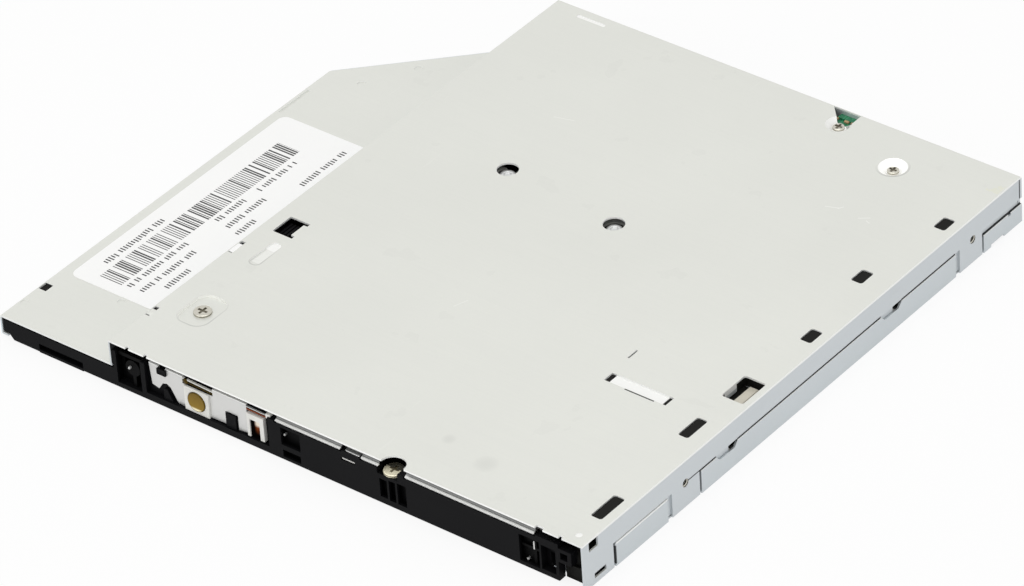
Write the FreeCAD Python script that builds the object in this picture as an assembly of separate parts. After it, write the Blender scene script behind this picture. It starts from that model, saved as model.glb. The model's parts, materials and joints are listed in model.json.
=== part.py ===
"""Slim tray-loading disc writer, modelled underside up, in millimetres.

X runs along the tray front, Y from the tray front to the rear, Z up from the lid.
The origin is the centre of the footprint on the lid's outer face.
"""
import FreeCAD
import Part
import math
import os
from collections import namedtuple

V = FreeCAD.Vector
UP = V(0, 0, 1)
ALONG_X = V(1, 0, 0)
ALONG_Y = V(0, 1, 0)

# Overall form
WIDTH = 128.0
DEPTH = 126.0
HEIGHT = 9.5
WING_WIDTH = 25.5
WING_HEIGHT = 4.55
STEP_TAIL = 10.5
SHEET = 0.35
BEND = 0.3
LEFT = -WIDTH / 2
RIGHT = WIDTH / 2
FRONT = -DEPTH / 2
REAR = DEPTH / 2
STEP_X = LEFT + WING_WIDTH
WING_LENGTH = DEPTH - STEP_TAIL - WING_WIDTH
PLATE_UNDER = HEIGHT - SHEET
WING_UNDER = WING_HEIGHT - SHEET

# Clearances
RUN_GAP = 0.3
SEAM = 0.05
PIN_FIT = 0.02
OVERCUT = 1.0

# A place in plan: middle across, middle behind the front, width, length
Window = namedtuple("Window", "x back width length")

# Case side wall: full-width lands carry the mounting holes, lid flanges lie between them
JOGGLE_Z = 5.05
WALL_FOOT = 0.6
LANDS = ((0.0, 8.0), (24.0, 31.6), (DEPTH - 19.0, DEPTH - 12.2))
FLANGE_LEAD = 0.5
FLANGE_TAIL = 1.2
FLANGE_TOP = 4.7
REAR_FLANGE_TOP = 3.7
FLANGE_NOTCHES = (36.4, DEPTH - 42.3)
NOTCH_LENGTH = 6.0
NOTCH_DEPTH = 1.05
NOTCH_SLOPE = 1.0
NOTCH_HOLE = 2.2
CORNER_SLIT_BACK = DEPTH - 0.85
CORNER_SLIT_WIDTH = 0.3
LID_EDGE_NOTCH = Window(RIGHT, DEPTH - 7.5, 1.6, 4.0)
LID_EDGE_DEPTH = 0.5
LID_NICK = Window(RIGHT, DEPTH - 3.8, 1.6, 0.8)
LID_NICK_DEPTH = 0.4
SIDE_HOLE_R = 0.8
SIDE_HOLE_Z = 4.9
SIDE_HOLE_BOSS_R = 1.6
SIDE_HOLE_DEPTH = 1.3
SIDE_HOLES = (27.8, DEPTH - 15.0)
LIP_WIDTH = 1.5
LIP_THICK = 0.4
LID_SETBACK = 2.6
SEAM_GAP = 0.35
CORNER_FLANGE_GAP = 0.4

# Openings and pressings of the bottom case
WINDOWS = (
    Window(RIGHT - 2.95, 10.8, 2.3, 6.6),
    Window(RIGHT - 4.28, 35.85, 2.15, 5.7),
    Window(RIGHT - 3.0, 67.65, 2.35, 3.7),
    Window(RIGHT - 5.8, DEPTH - 39.65, 2.4, 3.7),
    Window(RIGHT - 3.0, DEPTH - 19.15, 2.4, 3.5),
)
WINDOW_CORNER = 0.5
WINDOW_FIT = 0.12
BOSS_SINK = 0.15
HOOK_WINDOW = Window(RIGHT - 3.45, 49.05, 4.5, 6.7)
HOOK_TAB_LENGTH = 4.3
HOOK_TAB_DROP = 1.5
SIGHT_HOLE_R = 2.0
BRIDGE_X = RIGHT - 18.3
BRIDGE_BACK = 39.45
BRIDGE_LENGTH = 11.2
BRIDGE_WIDTH = 2.4
BRIDGE_END_GAP = 0.9
BRIDGE_ROOT = 0.4
LATCH_X = STEP_X + 8.0
LATCH_BACK = 15.7
LATCH_EMBOSS_WIDTH = 6.3
LATCH_EMBOSS_LENGTH = 8.8
EMBOSS_DEPTH = 0.5
EMBOSS_WALL = 0.35
CAPSULE = Window(STEP_X + 6.35, 34.6, 2.1, 7.2)
CAPSULE_DEPTH = 0.25
TEE = Window(STEP_X + 4.7, 43.15, 3.6, 5.1)
TEE_CORNER = 0.3
TEE_EAR_REACH = 0.8
TEE_EAR_WIDTH = 0.8
TEE_RIDGES = 3
TEE_RIDGE_INSET = 0.3
TEE_RIDGE_PITCH = 0.75
TEE_RIDGE_WIDTH = 0.45
STEP_NOTCHES = ((9.3, 2.9), (31.5, 3.8))
STEP_NOTCH_WIDTH = 1.3
WING_NOTCH_BACK = 9.7
WING_NOTCH_LENGTH = 2.0
WING_NOTCH_WIDTH = 2.1
WING_SLOT_BACK = 75.0
WING_SLOT_LENGTH = 8.3
WING_SLOT_WIDTH = 0.7
WING_SLOT_INSET = 0.7
WING_SLOT_DEPTH = 0.25
CORNER_HOLE_BACK = 1.7
CORNER_HOLE_LENGTH = 2.4
CORNER_HOLE_LOW = HEIGHT - 2.2
CORNER_HOLE_HIGH = HEIGHT - 0.3
FRONT_NOTCH_X = 24.2
FRONT_NOTCH_R = 2.4
CUP_X = RIGHT - 20.4
CUP_BACK = DEPTH - 10.0
CUP_R = 2.7
CUP_FLOOR_R = 1.3
CUP_WALL = 0.4
CUP_FLOOR_Z = HEIGHT - 1.4
REAR_SCREW_X = RIGHT - 36.2
REAR_SCREW_BACK = DEPTH - 4.4
REAR_DISH_R = 2.4
REAR_NOTCH_LEFT = REAR_SCREW_X - 3.9
REAR_NOTCH_RIGHT = REAR_SCREW_X + 2.0
REAR_NOTCH_DEPTH = 3.3
REAR_NOTCH_SKEW = 2.8
SLIT_X = RIGHT - 25.1
SLIT_BACK = 45.4
SLIT_LENGTH = 2.6
SLIT_WIDTH = 0.35
REAR_PRESS = Window(STEP_X + 9.4, DEPTH - 2.4, 6.4, 0.8)
PIP_DEPTH = 0.15
PLATE_PIPS = ((RIGHT - 2.4, 2.3, 0.6),)
WING_PIPS = ((LEFT + 1.15, 5.3, 0.8), (LEFT + 15.3, 14.7, 0.8), (LEFT + 7.8, WING_LENGTH + 0.2, 0.9),
             (LEFT + 13.5, WING_LENGTH + 9.7, 0.9))
LAND_SLOT_BACK = 2.8
LAND_SLOT_LENGTH = 3.1
LAND_SLOT_LOW = 1.2
LAND_SLOT_HIGH = 2.2
FRONT_NICKS = ((STEP_X + 4.2, 0.7), (STEP_X + 8.3, 0.7), (RIGHT - 9.0, 1.6), (RIGHT - 4.6, 0.7))
NICK_DEPTH = 0.6

# Screws
SCREW_R = 0.8
SCREW_HEAD_R = 1.65
DEEP_HEAD_R = 1.1
SCREW_HEAD_H = 0.45
SCREW_LENGTH = 2.0
CROSS_LENGTH = 2.0
CROSS_RIM = 0.35
CROSS_WIDTH = 0.5
CROSS_DEPTH = 0.25
BOARD_NUT_R = 2.0
BOARD_NUT_H = 1.1

# Label on the wing
LABEL_LEFT_INSET = 2.3
LABEL_FRONT = 15.8
LABEL_LENGTH = 58.7
LABEL_THICK = 0.08
LABEL_CORNER = 1.6

# Tray
TRAY_LEFT = LEFT + 3.0
TRAY_RIGHT = RIGHT - 8.0
TRAY_REAR = REAR - 3.0
TRAY_FLOOR_Z = 2.95
TRAY_FLOOR_T = 0.75
TRAY_FLOOR_TOP = TRAY_FLOOR_Z + TRAY_FLOOR_T
TRAY_RIM_Z = SHEET + 0.4
TRAY_DIAGONAL_INSET = 2.0
DISC_R = 60.0
SMALL_DISC_R = 40.0
SMALL_WELL_DEPTH = 0.35
DISC_PLAY = 0.6
FRONT_WALL_T = 1.6
FRONT_FOOT_Z = 0.2
FRONT_TAB_Z = 0.05
SIDE_WALL_T = 1.4
SIDE_WALL_REAR = 2.0
LEFT_WALL_LENGTH = 88.0
TRAY_TOP = HEIGHT - 1.75
UNDER_PLATE_T = 0.4
UNDER_PLATE_TOP = TRAY_TOP + UNDER_PLATE_T
UNDER_PLATE_LEFT = LATCH_X + 3.5
UNDER_PLATE_REAR = REAR - 46.2
UNDER_PLATE_CORNER = 4.0
UNDER_EAR = Window(STEP_X + 26.5, 16.75, 20.0, 26.5)
LIP_TOP = PLATE_UNDER - 0.35
LIP_FOOT = TRAY_TOP - 0.3
LIP_DEPTH = 2.0
LIP_BEND = 1.0
LIP_WAIST = 0.75
LIP_WAIST_SHARE = 0.45
LIP_NOSE = 0.1
LIP_CORNER = 0.45
LIP_SPANS = ((STEP_X + 37.0, 12.7, LIP_FOOT), (13.9, 17.0, LIP_FOOT + 0.35), (17.2, 20.9, LIP_FOOT),
             (26.6, RIGHT - 10.2, LIP_FOOT))
TRAY_SCREW_R = 1.9
TRAY_SCREW_H = 0.5
TRAY_SCREWS = ((STEP_X + 20.5, FRONT + 6.0), (RIGHT - 29.5, UNDER_PLATE_REAR - 17.8),
               (UNDER_PLATE_LEFT + 3.2, UNDER_PLATE_REAR - 5.8))
FRONT_SCREW_X = FRONT_NOTCH_X - 1.4
FRONT_SCREW_Y = FRONT + TRAY_SCREW_R + SEAM
FRONT_SCREW_SEAT = TRAY_TOP - 1.5

# Openings of the tray front: left, right, low, high
LEDGE_TOP = 1.6
POCKET_DEPTH = 1.1
CAVITY = (STEP_X + 1.4, STEP_X + 6.9, LEDGE_TOP - 0.4, TRAY_TOP)
EJECT_BAY = (STEP_X + 7.9, STEP_X + 35.3, LEDGE_TOP, TRAY_TOP)
FRONT_POCKETS = (
    (LEFT + 8.7, LEFT + 18.8, 0.6, 1.9),
    (STEP_X + 38.1, STEP_X + 42.3, 3.3, 6.9),
    (STEP_X + 38.3, STEP_X + 42.2, 0.8, 2.3),
    (FRONT_NOTCH_X - 11.4, FRONT_NOTCH_X - 8.4, 5.7, 6.3),
    (FRONT_NOTCH_X - 3.2, FRONT_NOTCH_X - 1.6, 1.5, 5.3),
    (FRONT_NOTCH_X - 1.2, FRONT_NOTCH_X + 0.2, 1.4, 5.6),
    (FRONT_NOTCH_X + 0.6, FRONT_NOTCH_X + 2.5, 1.4, 5.8),
    (RIGHT - 13.4, RIGHT - 9.2, 1.0, 6.5),
)
FRONT_SLOTS = (
    (RIGHT - 8.8, RIGHT - 5.8, 1.2, 6.2),
    (RIGHT - 4.8, RIGHT - 3.3, 4.9, 6.3),
)
FRONT_END_INSET = 2.5
FRONT_END_TAB = (RIGHT - 5.2, 4.2, 7.0)
CAVITY_BOSS = (STEP_X + 4.6, 5.0, 1.6)
CAVITY_RIB = (STEP_X + 4.5, STEP_X + 5.2, 0.8, 4.0)
CAVITY_BAR = (STEP_X + 1.1, STEP_X + 7.3, 6.9, 7.6)
CAVITY_DEPTH = 3.0
BAY_RIB = (STEP_X + 25.55, STEP_X + 27.8, 0.8, 4.5)
POCKET_RIBS = ((RIGHT - 10.8, RIGHT - 10.2, 1.0, 6.5), (RIGHT - 13.4, RIGHT - 9.2, 3.9, 4.4))
RIB_FRONT = 0.6

# Slide rails
RAIL_SHEET = 0.35
RAIL_FRONT = 4.0
RIGHT_RAIL_LENGTH = DEPTH - 22.0
LEFT_RAIL_FRONT = 2.2
LEFT_RAIL_LENGTH = WING_LENGTH - 4.0
RIGHT_RAIL_LOW = 3.55
RIGHT_RAIL_HIGH = 6.95
RIGHT_RAIL_INSET = 3.6
RIGHT_RAIL_DEPTH = 3.2
LEFT_RAIL_LOW = WALL_FOOT + LIP_THICK + RUN_GAP
LEFT_RAIL_HIGH = WING_UNDER - RUN_GAP
LEFT_RAIL_INSET = SHEET + RUN_GAP
LEFT_RAIL_DEPTH = 1.7
GUIDE_FRONT = 2.4
GUIDE_LENGTH = DEPTH - 10.4
GUIDE_SHELF_INSET = 7.2
GUIDE_LIP = 0.4
GUIDE_LIP_DEPTH = 2.0
GUIDE_WALL_INSET = 1.4

# Traverse: u runs from the spindle along the pickup's path, v across it
SPINDLE_X = 0.0
SPINDLE_Y = 0.0
TRAVERSE_ANGLE = -50.0
CHASSIS_Z = TRAY_FLOOR_TOP + 0.3
CHASSIS_T = 0.5
CHASSIS_TOP = CHASSIS_Z + CHASSIS_T
CHASSIS_HALF = 19.0
CHASSIS_REAR = 23.0
CHASSIS_NOSE_HALF = 12.0
CHASSIS_TAIL_HALF = 6.0
ROD_V = 14.5
ROD_Z = 5.7
ROD_R = 1.0
ROD_START = 9.0
ROD_END = 61.2
ROD_BLOCK = 1.8
ROD_WALL = 0.5
LENS_U = 24.0
PICKUP_TRAVEL = 33.0
PICKUP_BACK = 8.3
PICKUP_FRONT = 4.0
PICKUP_HALF = 11.0
PICKUP_LOW = 3.9
PICKUP_HIGH = 6.6
PICKUP_ROOF = 5.5
PICKUP_COVER_T = 0.3
PICKUP_COVER_BACK = 6.6
PICKUP_COVER_INSET = 0.5
PICKUP_COVER_RIM = 0.8
PICKUP_GAP = 2.6
BUSH_WALL = 0.7
BUSH_LENGTH = 2.8
ACTUATOR_BACK = 4.0
ACTUATOR_HALF = 6.0
TURNTABLE_R = 13.5
TURNTABLE_Z = 2.55
TURNTABLE_T = 0.55
ROTOR_R = 10.8
ROTOR_WALL = 0.7
ROTOR_FLOOR = 0.6
ROTOR_TOP = 6.2
HUB_R = 7.35
HUB_Z = 1.0
HUB_CHAMFER = 0.7
PAD_T = 0.2
PAD_WIDTH = 3.7
PAD_INSET = 0.3
SHAFT_R = 1.0
BASE_Z = 6.6
BASE_T = 0.5
BASE_R = 12.4
LEG_HALF = 2.0
LEG_REACH = 0.8
BEARING_R = 3.0
BEARING_LENGTH = 2.5
TOOTH_COUNT = 9
TOOTH_R = 9.3
TOOTH_HALF = 0.5
TOOTH_TIP = 0.7
TOOTH_TIP_HALF = 2.4
CORE_HALF = 0.3
CORE_HUB = 1.4
COIL_HALF = 1.05
COIL_HIGH = 0.7
COIL_INSET = 0.2
CLAW_COUNT = 3
CLAW_WIDTH = 1.9
CLAW_REACH = 0.55
CLAW_INNER = 4.7
CLAW_Z = 1.35
CLAW_T = 0.75
CLAW_PLAY = 0.15
DAMPERS = ((-19.7, 0.0), (-0.96, 17.9), (34.0, -20.0), (38.0, 23.0))
DAMPER_R = 2.2
DAMPER_NECK_R = 1.5
DAMPER_TOP = 7.3
DAMPER_HEAD_R = 1.9
DAMPER_HEAD_H = 0.8
DAMPER_BOSS_R = 2.0
DAMPER_BOSS_Z = 2.6
DAMPER_EAR = 0.8
LEAD_V = 18.0
LEAD_Z = 5.95
LEAD_R = 0.9
LEAD_END = 59.2
LEAD_PITCH = 3.0
LEAD_GROOVE = 0.7
LEAD_GROOVE_DEPTH = 0.2
BEARING_BLOCK = 1.6
BEARING_HALF = 1.4
MOTOR_START = 3.5
MOTOR_LENGTH = 12.0
MOTOR_R = 2.4
MOTOR_HALF = 1.95
MOTOR_TOP = 7.4
NUT_LENGTH = 2.9
NUT_BACK = 4.2
NUT_HALF = 1.4
NUT_ROOF_LOW = LEAD_Z + LEAD_R + 2 * SEAM
NUT_ROOF_T = 0.25
MAGNET_LENGTH = 4.8
MAGNET_WIDTH = 1.2
MAGNET_V = 5.1
MAGNET_LOW = 4.0
LENS_R = 2.1
LENS_FACE = 3.1
LENS_EDGE = 3.6
LENS_BACK = 4.6
LENS_DOME_R = 4.05
HOLDER_HALF_U = 3.3
HOLDER_HALF_V = 4.1
HOLDER_LOW = 3.8
HOLDER_HIGH = 4.9
HOLDER_CORNER = 0.8

# Latch, eject switch and indicator on the tray
POST_R = 1.2
POST_FLANGE_R = 2.4
POST_FLANGE_T = 0.4
POST_FOOT = 5.9
LEVER_PIVOT = (LATCH_X + 4.5, 25.5)
LEVER_PIN = (LATCH_X + 3.5, 19.0)
LEVER_Z = 6.3
LEVER_T = 1.0
LEVER_WIDTH = 2.0
LEVER_PIN_R = 0.6
LEVER_TOE = 1.3
PIVOT_R = 0.9
PIVOT_SHOULDER = 0.8
PLUNGER_Z = 5.4
PLUNGER_R = 0.9
PLUNGER_HEAD = 3.0
PLUNGER_STROKE = 2.85
PLUNGER_SLOT = 0.2
SOLENOID_LEFT = LATCH_X + 9.0
SOLENOID_LENGTH = 10.0
SOLENOID_WIDTH = 6.0
SOLENOID_HEIGHT = 3.4
BRACKET_T = 0.4
BRACKET_FRONT = 0.6
BRACKET_TOP = TRAY_TOP + 0.3
SWITCH_X = STEP_X + 19.15
SWITCH_WIDTH = 5.4
SWITCH_HEIGHT = 5.0
SWITCH_Z = LEDGE_TOP + SWITCH_HEIGHT / 2
SWITCH_TOP = LEDGE_TOP + SWITCH_HEIGHT
SWITCH_T = 0.35
SWITCH_BACK = 0.05
BRACKET_SHAPE = (
    (8.5, BRACKET_TOP), (10.6, BRACKET_TOP), (10.6, 6.6), (12.2, 6.6), (12.2, BRACKET_TOP), (16.0, BRACKET_TOP),
    (16.0, SWITCH_TOP), (22.7, SWITCH_TOP), (22.7, BRACKET_TOP), (30.2, BRACKET_TOP), (30.2, 2.0), (28.1, 1.7),
    (28.1, 4.6), (25.3, 4.6), (25.3, 1.9), (22.2, 1.8), (16.0, 1.7), (14.6, 1.8), (13.1, 4.4), (12.3, 4.9),
    (11.3, 4.6), (10.4, 3.2), (8.9, 3.6))
BRACKET_POST = ((11.5, 0.8), (11.8, 3.9), (12.5, 3.9), (13.7, LEDGE_TOP), (13.7, 0.8))
DOME_R = 1.95
DOME_H = 0.3
DOME_PROUD = 0.2
DOME_PLAY = 0.05
LAMP_LEFT = STEP_X + 30.4
LAMP_RIGHT = LAMP_LEFT + 3.7
LAMP_LOW = 1.8
LAMP_HIGH = 6.6
LAMP_WINDOW_LEFT = LAMP_LEFT + 0.6
LAMP_WINDOW_RIGHT = LAMP_RIGHT - 0.9
LAMP_WINDOW_TOP = 5.5

# Main board
BOARD_LEFT = STEP_X + 4.5
BOARD_RIGHT = RIGHT - 12.0
BOARD_FRONT = REAR - 38.0
BOARD_REAR_GAP = 1.2
BOARD_CORNER = 14.0
BOARD_T = 0.8
BOARD_TOP = CUP_FLOOR_Z
BOARD_UNDER = BOARD_TOP - BOARD_T
CONTROLLER = Window(BOARD_LEFT + 34.0, DEPTH - 21.0, 12.0, 1.1)
DRIVER = Window(BOARD_RIGHT - 10.0, DEPTH - 28.0, 8.0, 1.0)
CHIP_CHAMFER = 0.4
CAPACITOR = (2.0, 1.2, 0.9)
CAPACITOR_PITCH = (4.0, 3.2)
CAPACITOR_ROWS = (5, 2)
CAPACITOR_START = (BOARD_LEFT + 12.0, BOARD_FRONT + 5.0)
SATA_X = STEP_X + 19.5
SATA_WIDTH = 29.0
SATA_DEPTH = 6.5
SATA_HEIGHT = 3.2
SATA_WALL = 0.5
SATA_SIDE = 1.0
SATA_MOUTH = 4.2
TONGUE_LOW = 1.3
TONGUE_T = 0.9
TONGUE_SETBACK = 0.6
SATA_CONTACTS = 13
SATA_PITCH = 1.27
CONTACT_WIDTH = 0.8
CONTACT_LENGTH = 3.4
CONTACT_T = 0.1
FLEX_X = FRONT_NOTCH_X - 0.2
FLEX_WIDTH = 14.0
FLEX_T = 0.12
FLEX_FOLD = FRONT + 11.0
FLEX_RAMP = 3.0
SOCKET_DEPTH = 4.0
SOCKET_MARGIN = 1.5
SOCKET_H = 1.0
TRAY_SOCKET_H = 1.6
BOARD_SOCKET_Y = BOARD_FRONT + 5.0
TRAY_SOCKET_Y = REAR - 25.0


def back(distance):
    """Y of a place that far behind the front edge."""
    return FRONT + distance


def box(x0, x1, y0, y1, z0, z1):
    """Box between two corners."""
    return Part.makeBox(x1 - x0, y1 - y0, z1 - z0, V(x0, y0, z0))


def disc(radius, x, y, z0, z1):
    """Upright cylinder from z0 to z1."""
    return Part.makeCylinder(radius, z1 - z0, V(x, y, z0), UP)


def bar(radius, start, length, axis):
    """Round bar from a start point along an axis."""
    return Part.makeCylinder(radius, length, start, axis)


def ring(outer, inner, x, y, z0, z1):
    """Upright tube."""
    return disc(outer, x, y, z0, z1).cut(disc(inner, x, y, z0 - OVERCUT, z1 + OVERCUT))


def prism(points, z0, z1):
    """Polygon in plan, raised from z0 to z1."""
    corners = [V(x, y, z0) for x, y in points]
    return Part.Face(Part.makePolygon(corners + corners[:1])).extrude(V(0, 0, z1 - z0))


def front_prism(points, y0, y1):
    """Polygon seen from the front, as x and z, run from y0 to y1."""
    corners = [V(x, y0, z) for x, z in points]
    return Part.Face(Part.makePolygon(corners + corners[:1])).extrude(V(0, y1 - y0, 0))


def side_prism(points, x0, x1):
    """Polygon seen from the side, as y and z, run from x0 to x1."""
    corners = [V(x0, y, z) for y, z in points]
    return Part.Face(Part.makePolygon(corners + corners[:1])).extrude(V(x1 - x0, 0, 0))


def fuse(shapes):
    """One solid from touching or overlapping shapes."""
    return shapes[0].fuse(list(shapes[1:])).removeSplitter()


def rounded(x0, x1, y0, y1, z0, z1, radius):
    """Box with its four upright edges rounded."""
    block = box(x0, x1, y0, y1, z0, z1)
    upright = [e for e in block.Edges if abs(e.tangentAt(e.FirstParameter).z) > 0.9]
    return block.makeFillet(radius, upright)


def window_block(window, z0, z1, grow=0.0, corner=WINDOW_CORNER):
    """Rounded block at a window of the bottom case."""
    y = back(window.back)
    half_x = window.width / 2 + grow
    half_y = window.length / 2 + grow
    return rounded(window.x - half_x, window.x + half_x, y - half_y, y + half_y, z0, z1, corner)


def front_block(extent, y0, y1):
    """Box on the tray front from its left, right, low and high limits."""
    left, right, low, high = extent
    return box(left, right, y0, y1, low, high)


def turned(profile):
    """Solid of revolution about Z from points given as radius and z."""
    corners = [V(r, 0, z) for r, z in profile]
    return Part.Face(Part.makePolygon(corners + corners[:1])).revolve(V(0, 0, 0), UP, 360)


def on_traverse(shape):
    """Turn a shape from the traverse's own u, v frame into the drive's frame."""
    shape.rotate(V(0, 0, 0), UP, TRAVERSE_ANGLE)
    shape.translate(V(SPINDLE_X, SPINDLE_Y, 0))
    return shape


def traverse_point(u, v):
    """Plan position in the drive's frame of a place on the traverse."""
    angle = math.radians(TRAVERSE_ANGLE)
    x = SPINDLE_X + u * math.cos(angle) - v * math.sin(angle)
    y = SPINDLE_Y + u * math.sin(angle) + v * math.cos(angle)
    return x, y


def ribbon(points, x0, x1, thickness):
    """Flat strip along points given as y and z, mitred at its corners."""
    upper, lower = [], []
    for index, (y, z) in enumerate(points):
        before = points[max(index - 1, 0)]
        after = points[min(index + 1, len(points) - 1)]
        turn_in = math.atan2(z - before[1], y - before[0]) if index else None
        turn_out = math.atan2(after[1] - z, after[0] - y) if index < len(points) - 1 else None
        turn_in = turn_out if turn_in is None else turn_in
        turn_out = turn_in if turn_out is None else turn_out
        half_turn = math.remainder(turn_out - turn_in, math.tau) / 2
        normal = turn_in + half_turn + math.pi / 2
        reach = thickness / 2 / math.cos(half_turn)
        upper.append((y + reach * math.cos(normal), z + reach * math.sin(normal)))
        lower.append((y - reach * math.cos(normal), z - reach * math.sin(normal)))
    return side_prism(upper + lower[::-1], x0, x1)


def half_turn(y, z_from, z_to, side):
    """Points of a half-round fold between two runs of a ribbon."""
    middle = (z_from + z_to) / 2
    radius = abs(z_from - z_to) / 2
    start = math.copysign(math.pi / 2, z_from - z_to)
    steps = [start * (1 - k / 3) for k in range(7)]
    return [(y + side * radius * math.cos(a), middle + radius * math.sin(a)) for a in steps]


def cross_head(x, y, top, head_r):
    """Cross recess of a small screw."""
    long_half = min(CROSS_LENGTH / 2, head_r - CROSS_RIM)
    short_half = CROSS_WIDTH / 2
    low = top - CROSS_DEPTH
    high = top + OVERCUT
    return fuse([
        box(x - long_half, x + long_half, y - short_half, y + short_half, low, high),
        box(x - short_half, x + short_half, y - long_half, y + long_half, low, high),
    ])


def screw(x, y, seat, head_r, head_h, length):
    """Pan-head screw seated at a height, its shank pointing down."""
    body = fuse([disc(head_r, x, y, seat, seat + head_h), disc(SCREW_R, x, y, seat - length, seat)])
    rim = [e for e in body.Edges if abs(e.BoundBox.ZMin - seat - head_h) < 1e-6 and e.Closed]
    return body.makeFillet(head_h * 0.4, rim).cut(cross_head(x, y, seat + head_h, head_r))


def wing_outline(inset):
    """Plan of the wing, drawn in from its 45 degree rear corner."""
    shift = inset * math.sqrt(2)
    inner = STEP_X + SHEET
    corner_y = back(WING_LENGTH) - shift
    return [(LEFT, FRONT), (inner, FRONT), (inner, corner_y + inner - LEFT), (LEFT, corner_y)]


def diagonal_end(inset):
    """Y where the wing's rear corner line, drawn in by an inset, meets the step."""
    return back(WING_LENGTH) + WING_WIDTH - inset * math.sqrt(2)


def panel_spans():
    """Front and rear ends of each lid flange along the right wall."""
    starts = [land[1] + FLANGE_LEAD for land in LANDS]
    ends = [land[0] - FLANGE_TAIL for land in LANDS[1:]] + [DEPTH]
    return list(zip(starts, ends))


def main_shell():
    """Plate, step wall, right wall and rear wall above the joggle."""
    outer = box(STEP_X, RIGHT, FRONT, REAR, JOGGLE_Z, HEIGHT)
    top_edges = [e for e in outer.Edges
                 if e.BoundBox.ZMin > HEIGHT - 1e-3 and e.BoundBox.YMax > FRONT + 1e-3]
    outer = outer.makeFillet(BEND, top_edges)
    inner = box(STEP_X + SHEET, RIGHT - SHEET, FRONT - OVERCUT, REAR - SHEET,
                JOGGLE_Z - OVERCUT, PLATE_UNDER)
    return outer.cut(inner)


def wing_shell():
    """Wing plate, its outer wall with the rail lip, and the foot of the step."""
    plate = prism(wing_outline(0.0), WING_UNDER, WING_HEIGHT)
    wall_end = back(WING_LENGTH)
    wall = box(LEFT, LEFT + SHEET, FRONT, wall_end, WALL_FOOT, WING_HEIGHT)
    lip = box(LEFT, LEFT + LIP_WIDTH, FRONT, wall_end, WALL_FOOT, WALL_FOOT + LIP_THICK)
    step = box(STEP_X, STEP_X + SHEET, FRONT, diagonal_end(0.0), WING_UNDER, JOGGLE_Z + SHEET)
    shell = fuse([plate, wall, lip, step])
    outer = [e for e in shell.Edges
             if abs(e.BoundBox.XMax - LEFT) < 1e-3 and e.BoundBox.YLength > DEPTH / 4
             and e.BoundBox.ZMin < WALL_FOOT + 1e-3 or
             abs(e.BoundBox.XMax - LEFT) < 1e-3 and e.BoundBox.ZMin > WING_HEIGHT - 1e-3]
    return shell.makeFillet(LIP_THICK * 0.8, outer)


def right_wall():
    """Lower right wall: lands at full width, set back behind the lid flanges."""
    inner = RIGHT - 2 * SHEET - SEAM
    high = JOGGLE_Z + SHEET
    first = back(LANDS[0][1]) - SHEET
    pieces = [box(inner, inner + SHEET, first, REAR, WALL_FOOT, high), box(inner, RIGHT, first, REAR, JOGGLE_Z, high)]
    gaps = [box(inner - OVERCUT, RIGHT - SHEET, back(near) + SHEET, back(far) - SHEET, 0, high + OVERCUT)
            for near, far in LANDS[1:]]
    gaps += [box(inner - OVERCUT, RIGHT - SHEET, back(far), back(far + FLANGE_LEAD), 0, FLANGE_TOP)
             for near, far in LANDS]
    gaps += [box(inner - OVERCUT, RIGHT - SHEET, back(notch + NOTCH_LENGTH - NOTCH_HOLE), back(notch + NOTCH_LENGTH),
                 FLANGE_TOP - NOTCH_DEPTH, FLANGE_TOP) for notch in FLANGE_NOTCHES]
    wall = fuse(pieces).cut(gaps)
    lands = []
    for near, far in LANDS:
        lands.append(box(RIGHT - SHEET, RIGHT, back(near), back(far), 2 * SEAM, high))
        lands.append(box(inner, RIGHT, back(far) - SHEET, back(far), WALL_FOOT, high))
        if near > 0:
            lands.append(box(inner, RIGHT, back(near), back(near) + SHEET, WALL_FOOT, high))
    bosses = [bar(SIDE_HOLE_BOSS_R, V(RIGHT - SIDE_HOLE_DEPTH, back(hole), SIDE_HOLE_Z), SIDE_HOLE_DEPTH, ALONG_X)
              for hole in SIDE_HOLES]
    return fuse([wall] + lands + bosses)


def dish(x, y, top_r):
    """Conical pan pressed into the plate: its metal and the room inside it."""
    floor = CUP_FLOOR_Z + CUP_WALL
    slope = (top_r - CUP_FLOOR_R) / (HEIGHT - floor)
    metal = Part.makeCone(CUP_FLOOR_R + CUP_WALL, top_r + CUP_WALL, PLATE_UNDER + SEAM - CUP_FLOOR_Z,
                          V(x, y, CUP_FLOOR_Z), UP)
    room = Part.makeCone(CUP_FLOOR_R, top_r + slope * OVERCUT, HEIGHT + OVERCUT - floor, V(x, y, floor), UP)
    return metal, room


def dishes():
    """The pans of the two rear screws."""
    return [dish(CUP_X, back(CUP_BACK), CUP_R), dish(REAR_SCREW_X, back(REAR_SCREW_BACK), REAR_DISH_R)]


def latch_emboss_outline(grow, z0, z1):
    """Rounded pan around the latch screw."""
    half_x = LATCH_EMBOSS_WIDTH / 2 + grow
    half_y = LATCH_EMBOSS_LENGTH / 2 + grow
    y = back(LATCH_BACK)
    return rounded(LATCH_X - half_x, LATCH_X + half_x, y - half_y, y + half_y, z0, z1, half_x * 0.75)


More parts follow.
